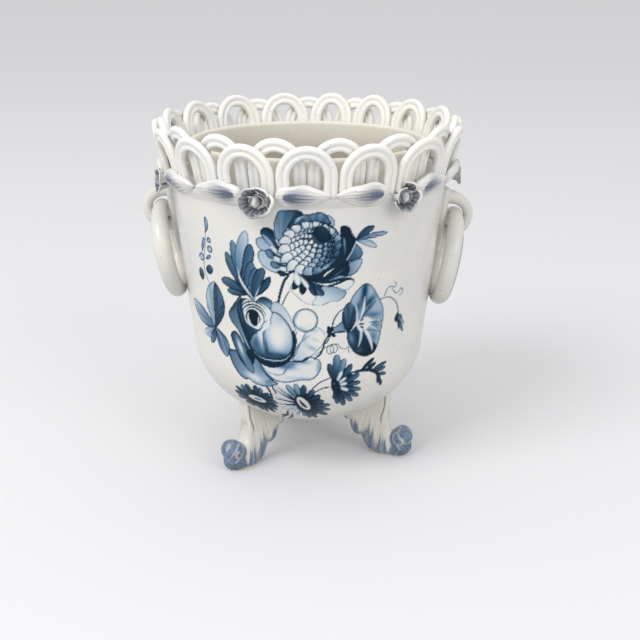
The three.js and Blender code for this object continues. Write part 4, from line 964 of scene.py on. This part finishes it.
def garland_leaf(angle, half_angle, base_side, seed):
    """One leaf as rows along its length. Its outline is an egg, round at the rose and pointed away
    from it; its face swells towards the upper edge, which stands off the wall, and thins to
    nothing at the lower edge; fine lengthwise ridges and a wavy upper edge come from the thumb."""
    u = np.linspace(-1, 1, 90)[:, None]
    v = np.linspace(-1, 1, 44)[None, :]
    along = u * base_side
    full = 2.1 * (np.clip(1 - along, 0.004, 2) / 2) ** 0.75 * (np.clip(1 + along, 0.004, 2) / 2) ** 0.4
    height = leaf_height + leaf_wave * along + leaf_width / 2 * full * v
    height = height + np.clip(v, 0, 1) ** 2 * full * leaf_wave * np.sin(6 * u + seed)
    swell = np.clip((v + 1) / 1.25, 0, 1) ** 0.8 * (1 - 0.55 * np.clip((v - 0.45) / 0.55, 0, 1) ** 2)
    crown = leaf_thickness * swell * full ** 0.5
    ridges = np.sin(17 * v + 2.2 * np.sin(1.7 * u + seed) + 1.3 * np.sin(5 * u - seed))
    crown = crown + leaf_ridge * ridges * full * (1 - v ** 6)
    crown = crown + leaf_fold * np.sin(4.2 * u + 2 * seed) * full * (v + 1) / 2
    face = polar(angle + half_angle * u, garland_back(height) + np.maximum(crown, leaf_edge), height)
    back = polar(angle + half_angle * u, garland_back(height) - leaf_sunk, height)[:, ::-1][:, ::4]
    return np.concatenate([face, back], axis=1), along, v


def leaf_wash(along, v, seed):
    """Blue brushed on a leaf: a patch just below its middle, darkest at the end near the rose, which
    runs out towards the tip in a few fine streaks. Returns the tint that multiplies the glaze."""
    start = -0.74 + 0.08 * math.sin(3 * seed)
    far = np.clip((along - start) / 1.35, 0, 1)
    width = 0.16 + 0.72 * np.sin(math.pi * np.clip(far * 1.15, 0, 1)) ** 0.8
    body = np.exp(-((v - 0.08 + 0.22 * far) / width) ** 2 * 1.6) * ((along > start) & (far < 1))
    lines = 0.5 + 0.5 * np.sin(21 * v + 2.5 * np.sin(3 * along + seed) + seed)
    streaks = (1 - far) ** 1.4 + 0.75 * lines ** 2 * far * (1 - far) ** 0.5
    return washed(np.clip(1.5 * body * np.clip(far / 0.04, 0, 1) * streaks, 0, 0.95), (0.115, 0.15, 0.27))


garland_glaze = glaze("garland_glaze", (0.74, 0.73, 0.705), 0.22, painted=True, speckle=0.5)
rose_half = (rose_radius + 0.4 * mm) / ledge_radius
for i in range(rose_count):
    start, end = garland_angle(i - 0.5), garland_angle(i + 0.5)
    leaf_half = ((end - start) / 2 - rose_half + leaf_lap / 2 / ledge_radius) / 2 - leaf_end_room
    for side, base_side, first in (("left", 1, start + rose_half), ("right", -1, end - rose_half)):
        seed = 1.7 * i + base_side
        middle = first + base_side * (leaf_half - leaf_shift)
        rows, along, v = garland_leaf(middle, leaf_half, base_side, seed)
        wash = np.ones(rows.shape)
        wash[:, :v.shape[1]] = leaf_wash(along, v, seed)
        leaf = skin(f"leaf_{i + 1:02d}_{side}", rows, wash)
        leaf.data.materials.append(garland_glaze)
        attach(leaf, "root")
        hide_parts(f"leaf_pair_{i + 1:02d}")


def rose_petal(axes, centre, turn, spread, reach, depth, foot, curl, thickness, twist):
    """One petal as a sheet with a thickness. From its foot it rises and opens outwards; its rim
    comes to a blunt point and rolls outwards; a twist lifts one edge over its neighbour. Returns
    the rows, the share up the petal, the share across it and its turn round the rose."""
    right, up, out = axes
    s = np.linspace(0, 1, 20)[:, None]
    t = np.linspace(-1, 1, 21)[None, :]
    rim = 1 - 0.12 * np.abs(t) ** 2 + 0.02 * np.sin(5 * t + 3 * turn)
    around = turn + spread * t * (0.55 + 0.45 * s)
    radial = foot + (reach * rim - foot) * s ** 0.9 + curl * s ** 5 + twist * t * s
    rise = depth * rim * (1 - (1 - s) ** 1.9) - curl * 0.9 * s ** 7
    flat = np.cos(around)[..., None] * right + rose_flatness * np.sin(around)[..., None] * up
    middle = centre + radial[..., None] * flat + rise[..., None] * out
    normal = np.cross(np.gradient(middle, axis=0), np.gradient(middle, axis=1))
    normal /= np.linalg.norm(normal, axis=2, keepdims=True) + 1e-12
    lens = thickness * ((1 - t ** 8) * (1 - 0.7 * s ** 4))[..., None]
    front, back = middle + normal * lens, middle - normal * lens
    return np.concatenate([front, back[:, ::-1][:, 1:-1]], axis=1), s, t, around


def join_shells(name, shells):
    """Several closed skins as one piece."""
    first = shells[0]
    joined = bmesh.new()
    for shell in shells:
        joined.from_mesh(shell.data)
    joined.to_mesh(first.data)
    joined.free()
    for other in shells[1:]:
        bpy.data.objects.remove(other)
    first.name = name
    first.data.shade_smooth()
    return first


# How far the petals on one side of each rose fold in over its heart
rose_folds = (0.0, 0.42, 0.2, 0.1, 0.3, 0.15)
fold_side = math.radians(140)
petal_rings = (
    # petals, reach, depth, foot, spread, curl, thickness, twist
    (6, 1.0, 0.80, 4.4 * mm, 0.70, 0.5 * mm, 0.42 * mm, 0.45 * mm),
    (3, 0.44, 0.62, 2.3 * mm, 1.05, 0.0, 0.34 * mm, 0.15 * mm),
)
for i in range(rose_count):
    angle = garland_angle(i - 0.5)
    out = polar(angle, math.cos(rose_lift), math.sin(rose_lift))
    right = polar(angle + math.pi / 2, 1.0, 0.0)
    up = np.cross(out, right)
    centre = polar(angle, float(garland_back(np.array(rose_height))), rose_height)
    shells = []
    for ring, (petals, reach, depth, foot, spread, curl, thickness, twist) in enumerate(petal_rings):
        for k in range(petals):
            turn = 2 * math.pi * (k + 0.12 * math.sin(7 * k + i)) / petals + 0.5 * ring + 0.9 * i
            size = 1 + 0.06 * math.sin(5 * k + 2 * i + ring)
            fold = rose_folds[i] * max(0.0, math.cos(turn - fold_side)) * (1 - ring)
            rows, s, t, around = rose_petal(
                (right, up, out), centre + out * (ring_step * ring), turn, spread,
                rose_radius * reach * size * (1 - fold), rose_depth * depth * (1 + 0.2 * fold),
                foot * (1 - 0.5 * fold), curl, thickness, twist)

            # The face is blue up to a white rim. The petals that hang down are darker on both faces: painted
            # shade under the rose.
            white_rim = (0.86 - 0.10 * np.cos(around + 0.3), 0.97)[ring]
            low = np.clip(-np.sin(around), 0, 1)
            shade = np.clip(0.9 + 0.2 * (1 - s) - 0.1 * np.cos(around + 2.6), 0, 1)
            shade = np.clip(shade * np.clip((white_rim - s) / 0.07, 0, 1) + 0.6 * low ** 2, 0, 1)
            shade = shade * (0.90 + 0.10 * np.sin(9 * t + 4 * k))
            # The backs of the petals that hang down are darker too: painted shade
            back_shade = (0.75 * low, np.maximum(low, 0.8))[ring] * (1 - s ** 6)
            tint = np.concatenate([washed(0.96 * shade, (0.07, 0.09, 0.14)),
                                   washed(back_shade[:, 1:-1][:, ::-1], (0.20, 0.25, 0.36))], axis=1)
            shells.append(skin(f"petal_{i}_{ring}_{k}", rows, tint))
    s = np.linspace(0, 1, 20)[:, None]
    around = np.linspace(0, 2 * math.pi, 28, endpoint=False)[None, :]
    pleats = np.sin(around * 2 + 9 * s)
    bud_radius = bud_across * np.sqrt(np.clip(1 - s ** 2.6, 0, 1)) * (1 + 0.10 * pleats)
    bud = (centre + out * bud_out - right * bud_left + (s * rose_depth * 0.88)[..., None] * out
           + (bud_radius * np.cos(around))[..., None] * right
           + (1.3 * bud_radius * np.sin(around))[..., None] * up)
    bud_shade = np.clip(1.35 - 1.0 * s + 0.3 * pleats + 0.3 * np.sin(around), 0, 1)
    shells.append(skin(f"bud_{i}", bud, washed(0.85 * bud_shade, (0.12, 0.15, 0.22))))
    rose = join_shells(f"rose_{i + 1:02d}_petals", shells)
    rose.data.materials.append(garland_glaze)
    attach(rose, "root")
    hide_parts(f"rose_{i + 1:02d}")

# Handles
#
# On each side a tongue of clay is pressed on the wall and a thick coil is bent out of it to make an
# eye. A round ring passes through the eye and leans on the wall, held there by the glaze.

leaf_droop, rose_droop, garland_gap = 0.9 * mm, 1.1, 0.4 * mm
under_leaf = leaf_height - leaf_width / 2 - leaf_droop - garland_gap
under_rose = rose_height - rose_radius * rose_flatness * rose_droop - garland_gap
tongue_width, tongue_thickness, tongue_sunk = 13.5 * mm, 3.2 * mm, 1.5 * mm
coil_thin, coil_thick = 5.2 * mm, 7.6 * mm
ring_across, ring_tube, ring_neck = 43.4 * mm, 9.2 * mm, 7.8 * mm
ring_play, ring_sag = 0.35 * mm, 0.4 * mm
ring_wobble, slip = 0.12 * mm, 0.3 * mm
eye_reach = ring_neck + 2 * ring_play + coil_thin / 2

# The blue line on the right ring, in degrees round its tube and round the ring
line_spin, line_width, line_turn, line_reach = 297, 12, 250, 62


def beside(angle, radius, height, sideways):
    """Points at an angle, a radius and a height, moved sideways by a distance to the right."""
    return polar(angle, radius, height) + polar(angle + math.pi / 2, sideways, 0.0)


def tube(path, normal, side, radius_out, radius_side, samples):
    """An oval section carried along a closed path."""
    spin = np.linspace(0, 2 * math.pi, samples, endpoint=False)
    return (path[:, None] + normal[:, None] * (radius_out[:, None] * np.cos(spin))[..., None]
            + side * (radius_side[:, None] * np.sin(spin))[..., None])


handle_glaze = glaze("handle_glaze", (0.68, 0.665, 0.62), 0.2, painted=True, speckle=0.4, gloss=0.45)
for name, angle, tongue_top, tongue_length, eye_drop, eye_half_height in (
    ("left", -math.pi / 2, under_leaf, 36.9 * mm, 12.9 * mm, 9.2 * mm),
    ("right", math.pi / 2, under_rose, 33.8 * mm, 14.1 * mm, 9.4 * mm),
):
    eye_height = tongue_top - eye_drop
    eye_face = float(wall_radius(eye_height)) + tongue_thickness + slip
    side = polar(angle + math.pi / 2, 1.0, 0.0)

    # The tongue's face bulges from edge to edge, and its back is sunk in the wall
    share = np.linspace(0, 1, 40)[:, None]
    turn = np.linspace(0, math.pi, 25)
    height = tongue_top - tongue_length * share
    half = tongue_width / 2 * np.sqrt(1 - 0.93 * share ** 3) * np.clip(share / 0.03 + 0.75, 0, 1)
    thick = tongue_thickness * (1 - 0.25 * share ** 6)
    thick = thick * np.clip(share / 0.05 + 0.6, 0, 1) * np.clip((1 - share) / 0.04 + 0.35, 0, 1)
    face = wall_radius(height) + slip + thick * np.clip(np.sin(turn), 0, 1) ** 0.55
    sunk = np.broadcast_to(wall_radius(height) - tongue_sunk, (40, 5))
    across = half * np.concatenate([np.cos(turn), np.linspace(-0.9, 0.9, 5)])
    tongue_rows = beside(angle, np.concatenate([face, sunk], axis=1), height, across)
    tongue = skin(f"{name}_tongue", tongue_rows, np.ones(tongue_rows.shape))

    # The coil is an oval loop that stands out from the tongue, thickest on the wall's side
    turns = np.linspace(0, 2 * math.pi, 72, endpoint=False)
    out, up = np.cos(turns), np.sin(turns)
    centre = polar(angle, eye_face + eye_reach * out, eye_height + eye_half_height * up)
    normal = unit(polar(angle, eye_half_height * out, eye_reach * up))
    thickness = (coil_thick + (coil_thin - coil_thick) * np.clip(out, 0, 1)) / 2
    coil_rows = tube(centre, normal, side, thickness, thickness * 1.05, 24)
    coil = skin(f"{name}_coil", coil_rows, np.ones(coil_rows.shape), endless=True)
    loop = join_shells(f"{name}_loop", [tongue, coil])
    loop.data.materials.append(handle_glaze)
    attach(loop, "root")
    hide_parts(f"{name}_handle_loop")

    # The ring leans from its neck in the eye down to the wall
    top_radius, top_height = eye_face + ring_play + ring_neck / 2, eye_height - ring_sag
    foot_radius = float(wall_radius(top_height - ring_across)) + slip + ring_tube / 2
    lean = math.asin((top_radius - foot_radius) / ring_across)
    up = polar(angle, math.sin(lean), math.cos(lean))
    middle = polar(angle, top_radius, top_height) - up * ring_across / 2
    turns = np.linspace(0, 2 * math.pi, 120, endpoint=False)
    outwards = np.cos(turns)[:, None] * up + np.sin(turns)[:, None] * side
    girth = (ring_tube + (ring_neck - ring_tube) * np.clip(np.cos(turns), 0, 1) ** 4) / 2
    girth = girth * (1 + 0.012 * np.sin(5 * turns + 1))
    path = middle + outwards * (ring_across / 2 + ring_wobble * np.sin(3 * turns + angle))[:, None]
    hoop_rows = tube(path, outwards, np.cross(up, side), girth, girth, 32)

    # A blue line runs round the front half of the right ring, on the face away from the pot
    spin = np.linspace(0, 360, 32, endpoint=False)
    line = np.exp(-((spin - line_spin) / line_width) ** 2)
    line = line * (np.abs(np.degrees(turns)[:, None] - line_turn) < line_reach)
    hoop_tint = washed(0.8 * line * (name == "right"), (0.16, 0.24, 0.38))
    hoop = skin(f"{name}_hoop", hoop_rows, hoop_tint, endless=True)
    hoop.data.materials.append(handle_glaze)
    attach(hoop, "root")
    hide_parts(f"{name}_ring")

# Feet
#
# Three feet pressed in a mould: each is a thick leaf, fluted from the bowl down to a lobed fringe,
# with a plain spine outside, a flat sole and its tip rolled up as a toe. They are washed with blue.

foot_angles = {"front_left_foot": -48.5, "front_right_foot": 71.5, "back_foot": 191.5}
foot_root_outer, foot_root_inner, heel_radius = 44.5 * mm, 18.5 * mm, 37 * mm
toe_middle, toe_roll_height = 52.9 * mm, 10.8 * mm
toe_roll_radius, toe_roll_half, toe_groove = 5.6 * mm, 6.5 * mm, 0.18 * mm
under_toe_middle, under_toe_radius, under_toe_half = toe_middle - 0.3 * mm, 5.6 * mm, 5.9 * mm
spine_width, belly_width, edge_width = 4.6 * mm, 9.6 * mm, 2.6 * mm
root_width, sole_width = 8 * mm, 8.8 * mm
foot_lobes, lobe_depth, vein_depth = 5, 3 * mm, 0.2 * mm
spine_line_in, spine_line_half, spine_line_depth = 1.7 * mm, 0.4 * mm, 0.5 * mm
root_depth = wall_thickness / 2
grain = 0.32 * mm


def bowl_height(radius):
    """Height of the bowl's underside at a radius."""
    return knee_height - (knee_height - underside_height) * math.sqrt(1 - (radius / knee_radius) ** 2)


def smooth_curve(points, shares):
    """A centripetal Catmull-Rom curve through [radius, height] points, at shares of its length: each
    stretch is a cubic whose end slopes weigh the neighbouring stretches by the root of their
    lengths."""
    p = np.array(points)
    p = np.concatenate([[2 * p[0] - p[1]], p, [2 * p[-1] - p[-2]]])
    step = np.sqrt(np.linalg.norm(np.diff(p, axis=0), axis=1))[:, None]
    a, b, c, d = p[:-3], p[1:-2], p[2:-1], p[3:]
    h0, h1, h2 = step[:-2], step[1:-1], step[2:]
    slope_b = ((b - a) / h0 - (c - a) / (h0 + h1) + (c - b) / h1) * h1
    slope_c = ((c - b) / h1 - (d - b) / (h1 + h2) + (d - c) / h2) * h1
    t = np.linspace(0, 1, 24, endpoint=False)[None, :, None]
    curve = ((2 * t ** 3 - 3 * t ** 2 + 1) * b[:, None] + (t ** 3 - 2 * t ** 2 + t) * slope_b[:, None]
             + (3 * t ** 2 - 2 * t ** 3) * c[:, None] + (t ** 3 - t ** 2) * slope_c[:, None])
    curve = np.concatenate([curve.reshape(-1, 2), p[-2:-1]])
    return places_along(curve, shares * distances_along(curve)[-1])


def smooth_rise(x, low, high):
    """0 below low, 1 above high, an S-curve between."""
    x = np.clip((x - low) / (high - low), 0, 1)
    return x * x * (3 - 2 * x)


foot_ridge = [(r, bowl_height(r) + root_depth) for r in
              (foot_root_inner + spine_width, (foot_root_inner + foot_root_outer) / 2, foot_root_outer)]
foot_ridge += [(45.2 * mm, 27.5 * mm), (43.6 * mm, 21.5 * mm), (44.4 * mm, 16.5 * mm), (47.6 * mm, 13 * mm),
               (toe_middle, toe_roll_height)]
foot_fringe = [(foot_root_inner, bowl_height(foot_root_inner) + root_depth), (21.5 * mm, 16 * mm),
               (26.5 * mm, 9.5 * mm), (32 * mm, 4 * mm), (heel_radius, 0.0)]
foot_fringe += [(heel_radius + (toe_middle - heel_radius) * k / 3, -lobe_depth) for k in (1, 2)]
foot_fringe += [(53.4 * mm, 1.9 * mm), (56.2 * mm, 5.4 * mm)]

# The leaf's plane runs from the fringe, u = 0, to the ridge, u = 1, and from the root to the toe
along_foot, across_foot = np.linspace(0, 1, 140), np.linspace(0, 1, 36)
s, u = along_foot[:, None], across_foot[None, :]
ridge_path, fringe_path = smooth_curve(foot_ridge, along_foot ** 1.5), smooth_curve(foot_fringe, along_foot)
notch = 1 - np.abs(np.sin(math.pi * foot_lobes * s))
foot_edge = fringe_path + unit(ridge_path - fringe_path) * lobe_depth * notch
foot_plane = foot_edge[:, None] * (1 - u[..., None]) + ridge_path[:, None] * u[..., None]
below = smooth_rise(s, 0.45, 0.72)
flute = 1 - 0.2 * notch * (1 - 0.6 * u)
veins = 0.5 + 0.5 * np.cos(2 * math.pi * foot_lobes * 3 * s + 2.2 * (1 - u))
toeward = 1 - 0.4 * smooth_rise(s, 0.8, 1.0)
edge = (edge_width * (1 - below) + sole_width * below) * flute * toeward
spine = root_width * (1 - below) + spine_width * below
rim = edge * (1 - u) + spine * u
foot_width = (rim + (belly_width - rim) * flute * np.sin(math.pi * u ** 0.8)) / 2
vein_marks = vein_depth * veins * np.sin(math.pi * np.clip(u / 0.8, 0, 1)) * smooth_rise(1 - s, 0.0, 0.15)
foot_width = foot_width - vein_marks

# The spine's face is the steep stretch of the ridge, listed from near the toe upwards
spine_rise = ridge_path[132:68:-1]


def beside_spine(radius, height):
    """1 on the line that runs down each flank a little inwards of the spine's face, 0 away from it."""
    inwards = np.interp(height, spine_rise[:, 1], spine_rise[:, 0]) - radius
    line = np.exp(-((inwards - spine_line_in) / spine_line_half) ** 2)
    return line * smooth_rise(height, 17 * mm, 21 * mm) * smooth_rise(-height, -39 * mm, -33 * mm)


foot_width = foot_width - spine_line_depth * beside_spine(foot_plane[..., 0], foot_plane[..., 1])

# Nearest place on the leaf's plane, as shares along and across it, on an even grid of places
grid_step, grid_from, grid_size = 0.4 * mm, np.array([12 * mm, -4 * mm]), np.array([125, 110])
grid = np.stack(np.meshgrid(*map(np.arange, grid_size), indexing="ij"), axis=-1) * grid_step + grid_from
closest = np.concatenate([((part[:, None] - foot_plane.reshape(-1, 2)) ** 2).sum(axis=2).argmin(axis=1)
                          for part in np.array_split(grid.reshape(-1, 2), 24)])
closest_row, closest_column = np.divmod(closest, len(across_foot))
grid_shares = np.stack([along_foot[closest_row], across_foot[closest_column]]).reshape(2, *grid_size)


def foot_wash(radius, height, sideways):
    """Tint of a foot at a place. Its shares along the leaf and across it are read from the grid,
    weighed by how near the four grid places are. Blue hangs at each lobe and runs up from it in
    streaks, the sole and the toe are blue all over but for a pale curl, a dark line lies beside the
    spine, and the rim under the sole is bare."""
    at = (np.stack([radius, height], axis=-1) - grid_from) / grid_step
    cell = np.clip(at.astype(int), 0, grid_size - 2)
    (row, column), (rest_row, rest_column) = cell.T, np.clip(at - cell, 0, 1).T
    near_s, near_u = sum(
        grid_shares[:, row + i, column + j] * abs(1 - i - rest_row) * abs(1 - j - rest_column)
        for i in (0, 1) for j in (0, 1))
    lean_s = near_s + 0.03 * near_u
    lobe = np.abs(np.sin(math.pi * foot_lobes * lean_s)) ** 0.7
    reach = (0.02 + 0.42 * lobe) * smooth_rise(near_s, 0.02, 0.2)
    reach = reach + 0.05 * np.sin(130 * lean_s) + 0.04 * np.sin(79 * lean_s + 1.0)
    fringe_blue = smooth_rise(reach - near_u, -0.04, 0.14) * (1 - smooth_rise(near_s, 0.8, 0.9))
    fringe_blue = fringe_blue * (0.86 + 0.14 * np.sin(62 * lean_s + 1.5 * near_u))
    sole_reach = 0.2 + 0.6 * smooth_rise(near_s, 0.78, 0.95)
    sole_blue = smooth_rise(near_s, 0.56, 0.64) * smooth_rise(sole_reach - near_u, -0.05, 0.12)
    from_toe = np.hypot(radius - toe_middle, height - toe_roll_height)
    toe_blue = smooth_rise(toe_roll_radius - from_toe, -0.9 * mm, 0.2 * mm)
    blue = np.clip(np.maximum(np.maximum(fringe_blue, sole_blue), toe_blue), 0, 1)

    curl_turn = np.arctan2(height - toe_roll_height, radius - toe_middle)
    spiral = from_toe / mm - 1.0 - 3.9 * (((math.pi / 2 - curl_turn) / (2 * math.pi)) % 1)
    curls = np.exp(-(spiral / 0.6) ** 2) * smooth_rise(np.abs(sideways), 3.5 * mm, 5.5 * mm)
    x, y, z = sideways / mm, radius / mm, height / mm
    curls = curls + 0.7 * np.clip(np.sin(1.1 * y + 0.9 * z + 1.5 * np.sin(0.8 * x)), 0, 1) ** 4
    blue = blue * (1 - 0.6 * toe_blue * np.clip(curls, 0, 1))
    patch = 0.5 + 0.5 * np.sin(1.9 * y + 2.4 * np.sin(0.9 * z)) * np.cos(1.3 * x + 0.8 * z)
    deep, pale = np.array([[0.14, 0.22, 0.37], [0.27, 0.38, 0.56]])
    pigment = deep + (pale - deep) * patch[:, None]
    tint = (1 - blue[:, None] * (1 - pigment)) * (1 - 0.7 * beside_spine(radius, height)[:, None])
    bare = smooth_rise(-height, -1.1 * mm, -0.5 * mm)[:, None]
    return tint * (1 - bare) + np.array([0.86, 0.80, 0.68]) * bare


# The feet's glaze is darker and a little warmer than the pot's: the darkness is painted shade under the bowl
foot_glaze = glaze("foot_glaze", (0.66, 0.645, 0.595), 0.22, painted=True, speckle=0.4)
for name, degrees in foot_angles.items():
    angle = math.radians(degrees)
    radial, side = polar(angle, 1.0, 0.0), polar(angle + math.pi / 2, 1.0, 0.0)
    right_flank, left_flank = (beside(angle, foot_plane[..., 0], foot_plane[..., 1], sign * foot_width)
                               for sign in (1, -1))
    blade = skin(f"{name}_blade", np.concatenate([right_flank, left_flank[:, ::-1]], axis=1))

    turns = np.linspace(0, 2 * math.pi, 72, endpoint=False)[None, :]
    lie = toe_roll_half * np.sin(np.linspace(-math.pi / 2 + 0.02, math.pi / 2 - 0.02, 40))[:, None]
    girth = toe_roll_radius * (1 - np.abs(lie / toe_roll_half) ** 2.6) ** 0.5
    girth = girth - toe_groove * np.clip(np.sin(turns * 2 + lie / mm * 0.5), 0, 1) ** 4 * (girth > 2 * mm)
    roll = beside(angle, toe_middle + girth * np.cos(turns), toe_roll_height + girth * np.sin(turns), lie)
    roll_end = np.cos(lie / toe_roll_half * 1.5)
    under_toe = beside(angle, under_toe_middle + under_toe_radius * roll_end * np.cos(turns),
                       under_toe_half + under_toe_half * roll_end * np.sin(turns), 0.95 * lie)
    shells = [blade, skin(f"{name}_toe", roll), skin(f"{name}_under_toe", under_toe)]
    foot = join_shells(f"{name}_leaf", shells)

    # The shells are fused into one skin of even grains, smoothed and cut flat at the sole
    remesh = foot.modifiers.new("fuse", "REMESH")
    remesh.mode = "VOXEL"
    remesh.voxel_size = grain
    polish = foot.modifiers.new("polish", "SMOOTH")
    polish.factor, polish.iterations = 0.5, 3
    fused = bpy.data.meshes.new_from_object(foot.evaluated_get(bpy.context.evaluated_depsgraph_get()))
    foot.modifiers.clear()
    foot.data = fused
    points = np.empty(len(fused.vertices) * 3)
    fused.vertices.foreach_get("co", points)
    points = points.reshape(-1, 3)
    points[:, 2] = np.maximum(points[:, 2], 0.0)
    fused.vertices.foreach_set("co", points.ravel())
    tint_points(fused, foot_wash(points @ radial, points[:, 2], points @ side))
    fused.shade_smooth()
    fused.materials.clear()
    fused.materials.append(foot_glaze)
    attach(foot, "root")
    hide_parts(name)
